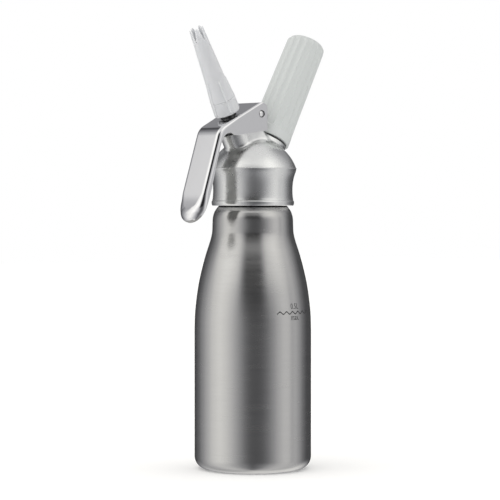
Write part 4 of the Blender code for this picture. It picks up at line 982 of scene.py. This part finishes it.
def dome_rows():
    """Rings of points over the dome, found along rays from a point inside it, from the top down."""
    centre = np.array(HEAD_CENTRE)
    outline = saddle_outline()
    edge = head_ring(RIDGE_RADIUS - RIDGE_LEDGE, RIDGE_LEVEL) - centre
    lowest = np.arctan2(edge[:, 2], np.hypot(edge[:, 0], edge[:, 1]))
    heading = np.arctan2(edge[:, 1], edge[:, 0])
    rows = []
    for i in range(HEAD_ROWS):
        climb = lowest + (math.pi / 2 - lowest) * (1 - i / HEAD_ROWS)
        way = np.stack([np.cos(climb) * np.cos(heading), np.cos(climb) * np.sin(heading), np.sin(climb)], 1)
        reach = np.full(HEAD_COLUMNS, HEAD_RAY_START)
        for _ in range(HEAD_RAY_STEPS):
            reach = reach - head_distance(centre + way * reach[:, None], outline) * HEAD_RAY_SHARE
        rows.append(centre + way * reach[:, None])
    return rows + [edge + centre]


def cast_head():
    """The casting without its stud and bores: dome with saddle and bosses, collar and cavity."""
    side = [(RIDGE_RADIUS, RIDGE_LEVEL - RIDGE_LEDGE / 2)]
    side += smooth(COLLAR_OUTLINE, COLLAR_STEPS) + smooth(COLLAR_LIP, COLLAR_LIP_STEPS)
    side.append((COLLAR_LIP[-1][0] - EDGE_ROUNDING, COLLAR_BOTTOM))
    ball = DOME_RADIUS - DOME_WALL
    top_angle = math.acos(CAVITY_RADIUS / ball)
    inner = [(COLLAR_BORE, COLLAR_BOTTOM), (COLLAR_BORE, CAVITY_SEAT), (CAVITY_RADIUS, CAVITY_SEAT)]
    inner += arc((0, dome_centre()), ball, ball, top_angle, math.pi / 2, ARC_STEPS)
    rows = dome_rows() + [head_ring(*point) for point in side + inner]
    faces = grid_faces(len(rows), HEAD_COLUMNS, False, True)
    return clean(object_from("fine_head", np.concatenate(rows), faces))


def make_head():
    """Head casting with its threaded stud and its bores."""
    head = cast_head()
    plain = stepped((STUD_TOP, REAR_BOSS_TOP - OVERRUN), (STUD_CORE_RADIUS,))
    stud = turned("stud", eased(plain), FITTING_STEPS)
    ridge = thread("stud_thread", STUD_CORE_RADIUS, STUD_THREAD_DEPTH, STUD_THREAD_START, STUD_THREAD_PITCH,
                   STUD_THREAD_TURNS)
    combined(stud, [ridge], "UNION")
    combined(head, [placed(stud, INLET)], "UNION")
    well = stepped((FRONT_BOSS_TOP + OVERRUN, FRONT_BOSS_TOP - SPRING_WELL_DEPTH, SEAT_LEVEL - OVERRUN),
                   (SPRING_WELL_RADIUS, STEM_RADIUS + EDGE_ROUNDING))
    gas_way = stepped((STUD_TOP + OVERRUN, NECK_POCKET_BOTTOM, INLET_BOSS_BOTTOM - OVERRUN),
                      (NECK_POCKET_RADIUS, NECK_POCKET_RADIUS / 2))
    reach = SADDLE_HALF_WIDTH + OVERRUN
    tools = [
        placed(turned("well", well, FITTING_STEPS), NOZZLE),
        placed(turned("gas_way", gas_way, SMALL_STEPS), INLET),
        placed(cross_rod("pin_way", stepped((reach, -reach), (EAR_HOLE_RADIUS,))), PIVOT),
    ]
    combined(head, tools, "DIFFERENCE")
    return piece(head, "head", ["head"], SATIN_ALUMINIUM)


# Lever


def lever_path():
    """Outer face of the lever's sheet from tail to tip: its points, inward headings and lengths."""
    reach = FOLD_RADIUS * math.tan(HANDLE_BEND / 2)
    fold_x = -PLATE_REACH + reach
    plate = [EAR_TAIL + (fold_x - EAR_TAIL) * i / PLATE_STEPS for i in range(PLATE_STEPS)]
    points = [Vector((x, PLATE_RISE)) for x in plate]
    headings = [Vector((0, -1))] * PLATE_STEPS
    centre = Vector((fold_x, PLATE_RISE - FOLD_RADIUS))
    for i in range(ARC_STEPS):
        angle = math.pi / 2 + HANDLE_BEND * i / ARC_STEPS
        spoke = Vector((math.cos(angle), math.sin(angle)))
        points.append(centre + FOLD_RADIUS * spoke)
        headings.append(-spoke)
    straight = HANDLE_LENGTH * HANDLE_STRAIGHT_SHARE
    for i in range(HANDLE_STEPS + 1):
        length = reach + (HANDLE_LENGTH - reach) * i / HANDLE_STEPS
        flare = max(0.0, (length - straight) / (HANDLE_LENGTH - straight))
        points.append(PLATE_CORNER + HANDLE_ALONG * length - HANDLE_INWARD * HANDLE_FLARE * flare * flare)
        headings.append(HANDLE_INWARD)
    lengths = [0.0]
    for a, b in zip(points, points[1:]):
        lengths.append(lengths[-1] + (b - a).length)
    return np.array(points), np.array(headings), np.array(lengths)


def sheet_place(path, length):
    """Point of the sheet's outer face at a length along the lever, and the way its flanges lean there."""
    *tables, lengths = path
    here, heading = (np.array([np.interp(length, lengths, table[:, k]) for k in (0, 1)]) for table in tables)
    heading /= np.linalg.norm(heading)
    lean = math.tan(LEVER_TILT) * max(0.0, 1 - length / LEAN_REACH)
    return here, heading + np.array((heading[1], -heading[0])) * lean


def flange_edge():
    """Free lower edge of ear and flange, from the ear's rear corner to the handle's end."""
    cosine, sine = math.cos(LEVER_TILT), math.sin(LEVER_TILT)

    def upright(forward, drop):
        return -forward * cosine - drop * sine, forward * sine - drop * cosine

    edge = [upright(-EAR_REAR_OFFSET - OVERRUN, EAR_REAR_DROP),
            upright(EAR_FRONT_OFFSET - NOTCH_WIDTH * NOTCH_LEAD_SHARE, EAR_FRONT_DROP)]
    edge += [upright(EAR_FRONT_OFFSET + NOTCH_WIDTH * ahead, EAR_FRONT_DROP - NOTCH_RISE * up)
             for ahead, up in NOTCH_SHARES]
    handle = [PLATE_CORNER + HANDLE_ALONG * length + HANDLE_INWARD * depth for length, depth in FLANGE_EDGE]
    return edge + smooth(handle, FLANGE_EDGE_STEPS)


def flange_depth(start, heading, edge):
    """How far from a point on the path the flange's free edge lies, square to the sheet."""
    best = DEEPEST_FLANGE
    for a, b in zip(edge, edge[1:]):
        ex, ez = b[0] - a[0], b[1] - a[1]
        cross = heading[0] * ez - heading[1] * ex
        if abs(cross) < PARALLEL:
            continue
        dx, dz = a[0] - start[0], a[1] - start[1]
        length = (dx * ez - dz * ex) / cross
        share = (dx * heading[1] - dz * heading[0]) / cross
        if 0 <= share <= 1 and HANDLE_BEND_RADIUS < length < best:
            best = length
    return best


def lever_border(fan):
    """Border of the sheet: place, way inwards and middle, each as a length and a distance across."""
    half = LEVER_WIDTH / 2
    stations = [*np.arange(0, CLOSE_REACH, CLOSE_STATION), *np.arange(CLOSE_REACH, fan, FAR_STATION)]
    border = [((u, -half), (0, 1), (u, 0)) for u in stations]
    for angle in np.linspace(-math.pi / 2, math.pi / 2, END_SPOKES):
        out = (math.cos(angle), math.sin(angle))
        border.append(((fan + half * out[0], half * out[1]), (-out[0], -out[1]), (fan, 0)))
    return border + [((u, half), (0, -1), (u, 0)) for u in reversed(stations)]


def sheet_section(span, depth, bend, wide):
    """Section through the sheet: from its middle, inside the bend, down the flange and back outside."""
    sheet, rim = LEVER_SHEET, EDGE_ROUNDING
    angles = np.linspace(0, math.pi / 2, BEND_STEPS + 1)
    deep_in, wide_in = (max(size - sheet, INNER_BEND_RADIUS) for size in (bend, wide))
    low, start = sheet + deep_in, sheet + wide_in
    section = line((span, sheet), (start, sheet), SHEET_SHARES)
    section += [(start - wide_in * math.sin(a), low - deep_in * math.cos(a)) for a in angles]
    section += line((sheet, low), (sheet, depth - rim), FLANGE_SHARES + (1.0,))
    section += arc((sheet - rim, depth - rim), rim, rim, 0, math.pi / 2, LEVER_RIM_STEPS)[1:]
    section += arc((rim, depth - rim), rim, rim, math.pi / 2, math.pi, LEVER_RIM_STEPS)
    section += line((0, bend), (0, depth - rim), reversed(FLANGE_SHARES))
    section += [(wide - wide * math.sin(a), bend - bend * math.cos(a)) for a in reversed(angles)]
    return section + line((span, 0), (wide, 0), reversed(SHEET_SHARES))


def lever_sheet():
    """The bent sheet, before its holes and rear corners are cut."""
    path = lever_path()
    edge = flange_edge()
    total = path[-1][-1]
    border = lever_border(total - LEVER_WIDTH / 2)
    depths = np.array([flange_depth(*sheet_place(path, place[0]), edge) for place, _, _ in border])
    depths[1:-1] = np.convolve(depths, np.ones(3) / 3, "valid")
    zones = (*BEND_ZONE, *(total - before_end for before_end in END_ZONE))
    radii = (LEVER_BEND_RADIUS, HANDLE_BEND_RADIUS, HANDLE_BEND_RADIUS)
    vertices = []
    for (place, inward, middle), depth in zip(border, depths):
        bend, wide = (float(np.interp(place[0], zones, (*radii, last)))
                      for last in (END_BEND_RADIUS, END_BEND_REACH))
        section = sheet_section(math.dist(place, middle), depth, bend, wide)
        for inwards, down in section:
            here, heading = sheet_place(path, place[0] + inward[0] * inwards)
            spot = here + heading * down
            vertices.append((spot[0], place[1] + inward[1] * inwards, spot[1]))
    columns = len(section)
    last_row = len(vertices) - columns
    faces = grid_faces(len(border), columns)
    faces += [tuple(range(columns)), tuple(reversed(range(last_row, len(vertices))))]
    return clean(object_from("fine_lever", vertices, faces))


def tail_trim():
    """Cutter that rounds the ears' upper rear corners."""
    corner = EAR_CORNER_RADIUS
    turn = math.pi / 2 - LEVER_TILT
    centre = (EAR_TAIL - corner / math.tan(turn / 2), PLATE_RISE - corner)
    block = arc(centre, corner, corner, math.pi / 2, turn - math.pi / 2, ARC_STEPS)
    behind, above = EAR_TAIL + corner, PLATE_RISE + corner
    block += [(behind, block[-1][1]), (behind, above), (block[0][0], above)]
    width = LEVER_WIDTH / 2 + OVERRUN
    return prism("tail_trim", *([(x, y, z) for x, z in block] for y in (-width, width)))


def chamfered(radius, face, lift):
    """Upper part of a hole's outline, with a chamfer that starts a hair off the face it opens in."""
    mouth, top = radius + HOLE_CHAMFER, face + OVERRUN
    return [(0, top), (mouth, top), (mouth, face + lift), (radius, face - HOLE_CHAMFER)]


def make_lever():
    """Stamped lever: one sheet with rounded bends, ears, flanges and a round, cupped end."""
    under = -LEVER_SHEET - OVERRUN
    hole = chamfered(PLATE_HOLE_RADIUS, 0, HOLE_LIFT) + [(PLATE_HOLE_RADIUS, under), (0, under)]
    ear = mirrored(chamfered(EAR_HOLE_RADIUS, LEVER_WIDTH / 2, -HOLE_LIFT))
    stem_way = placed(turned("stem_way", hole, HOLE_STEPS), Matrix.Translation((-STEM_REACH, 0, PLATE_RISE)))
    lever = combined(lever_sheet(), [tail_trim(), stem_way, cross_rod("ear_way", ear)], "DIFFERENCE")
    dressed = piece(placed(lever, PIVOT), "lever", ["lever"], POLISHED_STEEL)
    mark_inner_side(dressed)
    return dressed


def mark_inner_side(lever):
    """Marks the faces on the inner side of the lever's sheet, which is left matt and greyed as painted shade.
    """
    turn = PIVOT.to_3x3()
    down, inwards = (turn @ Vector((math.sin(bend), 0, -math.cos(bend))) for bend in (0, HANDLE_BEND))
    inner = lever.data.attributes.new(INNER_MATT_AND_SHADE, "FLOAT", "FACE")
    for face, mark in zip(lever.data.polygons, inner.data):
        towards_middle = -face.normal.y * math.copysign(1, face.center.y)
        facing = max(face.normal.dot(down), face.normal.dot(inwards), towards_middle)
        between_ears = abs(face.center.y) < LEVER_WIDTH / 2 - LEVER_SHEET * INNER_WIDTH_SHARE
        mark.value = 1.0 if between_ears and facing > INNER_FACING_SHARE else 0.0


def make_pin():
    """Cross pin with slightly domed, rounded ends that stand just inside the ears' faces."""
    end = LEVER_WIDTH / 2 - PIN_RECESS
    flat, edge = PIN_RADIUS - PIN_EDGE_RADIUS, PIN_EDGE_RADIUS
    dome = [(flat * share, end - PIN_DOME * share ** 2) for share in np.linspace(0, 1, PIN_DOME_ROWS)]
    dome += arc((flat, end - PIN_DOME - edge), edge, edge, math.pi / 2, 0, RIM_STEPS)[1:]
    pin = placed(cross_rod("fine_pin", mirrored(dome), FITTING_STEPS), PIVOT)
    return piece(pin, "head", ["lever_pivot_pin"], PIN_STEEL)


# Valve


def make_stem():
    """Hollow stem with its thrust flange and threaded top, in steel darkened as painted shade for the gap
    under the tip.
    """
    levels = (SEAT_LEVEL + STEM_BORE_RADIUS, STEM_TOP, STEM_FLANGE_TOP,
              STEM_FLANGE_TOP - STEM_FLANGE_THICKNESS, SEAT_LEVEL, SEAT_LEVEL - STEM_FOOT_LENGTH)
    radii = (STEM_BORE_RADIUS, STEM_THREAD_CORE, STEM_FLANGE_RADIUS, STEM_RADIUS, STEM_FOOT_RADIUS)
    stem = turned("fine_stem", eased(stepped(levels, radii)), FITTING_STEPS)
    ridge = thread("stem_thread", STEM_THREAD_CORE, STEM_THREAD_DEPTH, STEM_THREAD_START, STEM_THREAD_PITCH,
                   STEM_THREAD_TURNS)
    placed(combined(stem, [ridge], "UNION"), NOZZLE)
    return piece(stem, "stem", ["valve_stem"], STEM_STEEL_PAINTED_SHADE)


def make_spring():
    """Valve spring of round wire."""
    spring = object_from("fine_spring", [(0, 0, 0)], [])
    run_nodes(spring, coil_tree(), {
        "Coil Radius": SPRING_COIL_RADIUS, "Wire Radius": SPRING_WIRE_RADIUS,
        "Height": SPRING_HIGH - SPRING_LOW, "Turns": SPRING_TURNS, "Steps": SPRING_STEPS,
        "Material": SPRING_STEEL})
    clean(spring)
    placed(spring, NOZZLE @ Matrix.Translation((0, 0, SPRING_LOW)))
    return piece(spring, "head", ["valve_spring"], SPRING_STEEL)


# Decorator tip


def slot_cutter(index, top):
    """Wedge that cuts one slot of the tip's mouth from one side."""
    mouth, foot = TIP_SLOT_MOUTH / 2, TIP_SLOT_FOOT / 2
    low = top - TIP_SLOT_LENGTH
    side = [(foot, low)] + [(mouth * across, top - OVERRUN * down) for across, down in PRONG_END_SHARES]
    outline = [(-y, z) for y, z in reversed(side)]
    outline += arc((0, low), foot, foot, math.pi, 2 * math.pi, RIM_STEPS)[1:-1] + side
    slot = prism(f"slot_{index}", *([(x, y, z) for y, z in outline] for x in (0, TIP_BASE_RADIUS)))
    return placed(slot, Matrix.Rotation(TIP_SLOT_PHASE + 2 * math.pi * index / TIP_SLOT_COUNT, 4, "Z"))


def make_tip(tree):
    """Decorator tip: slender cone with ribs, seam, rounded foot and a slotted, pointed mouth."""
    top, seam, rib_top = (TIP_BOTTOM + rise for rise in (TIP_LENGTH, TIP_BAND_HEIGHT, TIP_RIB_LENGTH))
    band, lip = TIP_BAND_TOP_RADIUS, TIP_FOOT_ROUNDING
    outer = [(TIP_END_RADIUS, top)]
    outer += line((TIP_END_RADIUS, top), (TIP_CONE_RADIUS, rib_top), np.linspace(*TIP_CONE_ROWS))
    outer += line((TIP_CONE_RADIUS, rib_top), (band, seam + TIP_SEAM_WIDTH), np.linspace(*TIP_FOOT_ROWS))
    outer += [(band - TIP_SEAM_DEPTH, seam + TIP_SEAM_WIDTH / 2), (band, seam)]
    outer += line((band, seam), (TIP_BASE_RADIUS, TIP_BOTTOM + lip), np.linspace(*TIP_BAND_ROWS))
    outer += arc((TIP_BASE_RADIUS - lip, TIP_BOTTOM + lip), lip, lip, 0, -math.pi / 2, RIM_STEPS)
    passage = TIP_CONE_RADIUS - TIP_WALL
    web_top = TIP_BOTTOM + TIP_FOOT_WEB
    inner = [(TIP_FOOT_BORE, TIP_BOTTOM), (TIP_FOOT_BORE, web_top), (TIP_SOCKET_RADIUS, web_top),
             (TIP_SOCKET_RADIUS, TIP_SOCKET_TOP), (passage, TIP_SOCKET_TOP + OVERRUN), (passage, rib_top),
             (TIP_END_RADIUS - TIP_WALL, top)]
    tip = turned("fine_tip", outer + inner, TIP_STEPS, closed=True)
    run_nodes(tip, tree, {
        "Count": TIP_RIB_COUNT, "Phase": TIP_RIB_PHASE, "Lift": TIP_RIB_HEIGHT,
        "Width Share": TIP_RIB_WIDTH_SHARE, "Low": TIP_BOTTOM + lip, "High": rib_top,
        "Run-out": TIP_RIB_RUNOUT, "Round": 0.0, "Hollow": 0.0, "Material": TIP_PLASTIC})
    combined(tip, [slot_cutter(i, top) for i in range(TIP_SLOT_COUNT)], "DIFFERENCE")
    return piece(placed(tip, NOZZLE), "tip", ["decorator_tip"], TIP_PLASTIC)


# Charger holder


def make_sleeve(tree):
    """Holder sleeve with wide shallow flutes, a plain band, a rounded rim and a domed end."""
    def side(height):
        return HOLDER_RIM_RADIUS + (HOLDER_END_RADIUS - HOLDER_RIM_RADIUS) * height / HOLDER_LENGTH

    edge, rim, bore = HOLDER_EDGE_RADIUS, HOLDER_RIM_ROUNDING, HOLDER_BORE_RADIUS
    shoulder, cap = HOLDER_LENGTH - edge, HOLDER_LENGTH - HOLDER_CAP
    band = HOLDER_BAND + HOLDER_CLOSE_RISE
    end = side(shoulder)
    outer = [(0, HOLDER_LENGTH), ((end - edge) / 2, HOLDER_LENGTH)]
    outer += arc((end - edge, shoulder), edge, edge, math.pi / 2, 0, HOLDER_EDGE_STEPS)
    for high, low, rows in ((shoulder, band, HOLDER_UPPER_ROWS), (band, rim, HOLDER_LOWER_ROWS)):
        outer += [(side(height), height) for height in np.linspace(high, low, rows)[1:]]
    outer += arc((side(0) - rim, rim), rim, rim, 0, -math.pi / 2, HOLDER_RIM_STEPS)[1:]
    inner = [(bore + HOLDER_BORE_CHAMFER, 0), (bore, HOLDER_BORE_CHAMFER), (bore, cap), (0, cap)]
    sleeve = turned("fine_sleeve", outer + inner, FLUTE_COUNT * FLUTE_STEPS)
    run_nodes(sleeve, tree, {
        "Count": FLUTE_COUNT, "Phase": FLUTE_PHASE + math.pi / FLUTE_COUNT, "Lift": -FLUTE_DEPTH,
        "Width Share": FLUTE_WIDTH_SHARE, "Low": HOLDER_BAND, "High": HOLDER_LENGTH - FLUTE_END_GAP,
        "Run-out": FLUTE_RUNOUT, "Round": FLUTE_FOOT_ROUNDING, "Hollow": 1.0, "Material": HOLDER_PLASTIC})
    placed(sleeve, INLET)
    return piece(sleeve, "holder", ["holder_sleeve"], HOLDER_PLASTIC, HOLDER_CREASE)


# Solids that keep their shape


def dress_hidden_parts():
    """Gives the solids that stay as they are their finishes."""
    finishes = {
        WASHER_STEEL: ("spring_seat_washer", "valve_disc_washer", "valve_nut"),
        PIN_STEEL: ("piercing_pin",),
        CHARGER_STEEL: ("gas_charger",),
        LINER_ALUMINIUM: ("holder_liner", "tip_insert", "inlet_retainer"),
        BLACK_RUBBER: ("head_gasket", "stem_o_ring", "valve_disc", "tip_seal", "charger_seal",
                       "inlet_check_valve", "holder_end_pad"),
    }
    for material, names in finishes.items():
        for name in names:
            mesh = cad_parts[name].data
            mesh.materials.clear()
            mesh.materials.append(material)


# Stage, light and camera


def make_stage():
    """Pale floor that only metal looks through, so that its reflections show the studio alone."""
    corners = [(x * FLOOR_REACH, y * FLOOR_REACH, 0) for x, y in ((-1, -1), (1, -1), (1, 1), (-1, 1))]
    floor = object_from("floor", corners, [(0, 1, 2, 3)])
    white = finish("floor_white", FLOOR_WHITE, FLOOR_ROUGHNESS, 0.0, Emission_Color=(1, 1, 1, 1),
                   Emission_Strength=FLOOR_GLOW)
    tree = white.node_tree
    output = tree.nodes["Material Output"]
    glossy = add(tree, "ShaderNodeLightPath").outputs["Is Glossy Ray"]
    clear = add(tree, "ShaderNodeBsdfTransparent").outputs[0]
    solid = tree.nodes["Principled BSDF"].outputs[0]
    mixed = add(tree, "ShaderNodeMixShader", {0: glossy, 1: solid, 2: clear}).outputs[0]
    tree.links.new(mixed, output.inputs["Surface"])
    floor.data.materials.append(white)


def stops(tree, degrees, levels):
    """Brightness from 0 to 1 read off a ramp of (degrees, level) stops."""
    share = maths(tree, "DIVIDE", maths(tree, "ADD", degrees, 180.0), 360.0)
    ramp = add(tree, "ShaderNodeValToRGB", {0: share})
    ramp.color_ramp.interpolation = "EASE"
    elements = ramp.color_ramp.elements
    for i, (angle, level) in enumerate(levels):
        spot = (angle + 180) / 360
        if i < 2:
            element = elements[i]
            element.position = spot
        else:
            element = elements.new(spot)
        element.color = (*[level / STUDIO_PEAK] * 3, 1)
    return ramp.outputs[0]


def between(tree, value, low, high):
    """Smooth step from 0 to 1 as a value goes from one limit to the other."""
    limits = {0: value, 1: low, 2: high, 3: 0.0, 4: 1.0}
    return add(tree, "ShaderNodeMapRange", limits, interpolation_type="SMOOTHSTEP").outputs[0]


def blend_levels(tree, share, first, second):
    """Mixes two brightness values."""
    return add(tree, "ShaderNodeMix", {0: share, 2: first, 3: second}, data_type="FLOAT").outputs[0]


def mirrored_level(tree, azimuth, elevation):
    """Brightness that bright metal mirrors: soft boxes, a dark gap at the camera and a grey ceiling."""
    high = between(tree, elevation, HIGH_FROM, HIGH_FULL)
    level = blend_levels(tree, high, stops(tree, azimuth, STUDIO_LOW), stops(tree, azimuth, STUDIO_HIGH))
    under = maths(tree, "SUBTRACT", 1.0, between(tree, elevation, UNDER_FULL, UNDER_FROM))
    level = blend_levels(tree, under, level, stops(tree, azimuth, STUDIO_UNDER))
    level = maths(tree, "MULTIPLY", level, STUDIO_PEAK)
    level = blend_levels(tree, between(tree, elevation, OVERHEAD_FROM, OVERHEAD_FULL), level, OVERHEAD_LEVEL)
    outside = between(tree, maths(tree, "ABSOLUTE", azimuth), *GAP_HALF_WIDTH)
    above, below = between(tree, elevation, *GAP_TOP), between(tree, elevation, *GAP_FOOT)
    gap = maths(tree, "MULTIPLY", maths(tree, "SUBTRACT", 1.0, outside), maths(tree, "SUBTRACT", 1.0, above))
    return blend_levels(tree, maths(tree, "MULTIPLY", gap, below), level, GAP_LEVEL)


def sky_level(tree, up, facing):
    """Brightness that lights dull surfaces: from above, and more from one side than from the other."""
    side = (math.cos(SKY_SIDE_AZIMUTH), math.sin(SKY_SIDE_AZIMUTH), 0)
    lean = add(tree, "ShaderNodeVectorMath", {0: facing, 1: side}, operation="DOT_PRODUCT").outputs["Value"]
    sky = maths(tree, "ADD", SKY_BASE, maths(tree, "MULTIPLY", maths(tree, "MAXIMUM", up, 0.0), SKY_TOP))
    for sign, strength in zip((1, -1), SKY_SIDES):
        towards = maths(tree, "MAXIMUM", maths(tree, "MULTIPLY", lean, sign), 0.0)
        sky = maths(tree, "ADD", sky, maths(tree, "MULTIPLY", towards, strength))
    return sky


def make_lights():
    """World that shows white to the camera, a studio to mirrors and a soft sky to dull surfaces."""
    world = bpy.data.worlds.new("studio")
    bpy.context.scene.world = world
    world.use_nodes = True
    tree = world.node_tree
    for node in list(tree.nodes):
        tree.nodes.remove(node)
    way = add(tree, "ShaderNodeTexCoord").outputs["Generated"]
    up = add(tree, "ShaderNodeSeparateXYZ", {0: way}).outputs[2]
    turn = {0: way, "Angle": math.pi / 2 - CAMERA_YAW}
    facing = add(tree, "ShaderNodeVectorRotate", turn, rotation_type="Z_AXIS").outputs[0]
    across = add(tree, "ShaderNodeSeparateXYZ", {0: facing}).outputs
    azimuth = maths(tree, "DEGREES", maths(tree, "ARCTAN2", across[1], across[0]))
    elevation = maths(tree, "DEGREES", maths(tree, "ARCSINE", up))
    path = add(tree, "ShaderNodeLightPath").outputs
    sky, mirrored_light = sky_level(tree, up, facing), mirrored_level(tree, azimuth, elevation)
    level = blend_levels(tree, path["Is Glossy Ray"], sky, mirrored_light)
    tones = {0: level, 6: (*SHADE_TONE, 1), 7: (*LIGHT_TONE, 1)}
    tone = add(tree, "ShaderNodeMix", tones, data_type="RGBA").outputs[2]
    around = add(tree, "ShaderNodeBackground", {0: tone, 1: level}).outputs[0]
    backdrop = add(tree, "ShaderNodeBackground", {0: (1, 1, 1, 1), 1: 1.0}).outputs[0]
    mixed = add(tree, "ShaderNodeMixShader", {0: path["Is Camera Ray"], 1: around, 2: backdrop}).outputs[0]
    add(tree, "ShaderNodeOutputWorld", {0: mixed})


def make_camera():
    """Camera at the photograph's angle."""
    level = math.cos(CAMERA_PITCH)
    back = Vector((math.sin(CAMERA_YAW) * level, -math.cos(CAMERA_YAW) * level, math.sin(CAMERA_PITCH)))
    data = bpy.data.cameras.new("camera")
    data.sensor_width = SENSOR_WIDTH
    data.lens = FOCAL_PIXELS * SENSOR_WIDTH / FRAME_PIXELS
    data.shift_x = -(CENTRE_PIXEL_X - FRAME_PIXELS / 2) / FRAME_PIXELS
    camera = bpy.data.objects.new("camera", data)
    camera.location = Vector(CAMERA_TARGET) + back * CAMERA_DISTANCE
    camera.rotation_mode = "QUATERNION"
    camera.rotation_quaternion = (-back).to_track_quat("-Z", "Y")
    bpy.context.scene.collection.objects.link(camera)
    bpy.context.scene.camera = camera
    bpy.context.scene.view_settings.view_transform = "Standard"


make_camera()
make_stage()
make_lights()
bands = radial_pattern_tree()
make_bottle()
make_fill_mark()
make_head()
make_lever()
make_pin()
make_stem()
make_spring()
make_tip(bands)
make_sleeve(bands)
dress_hidden_parts()
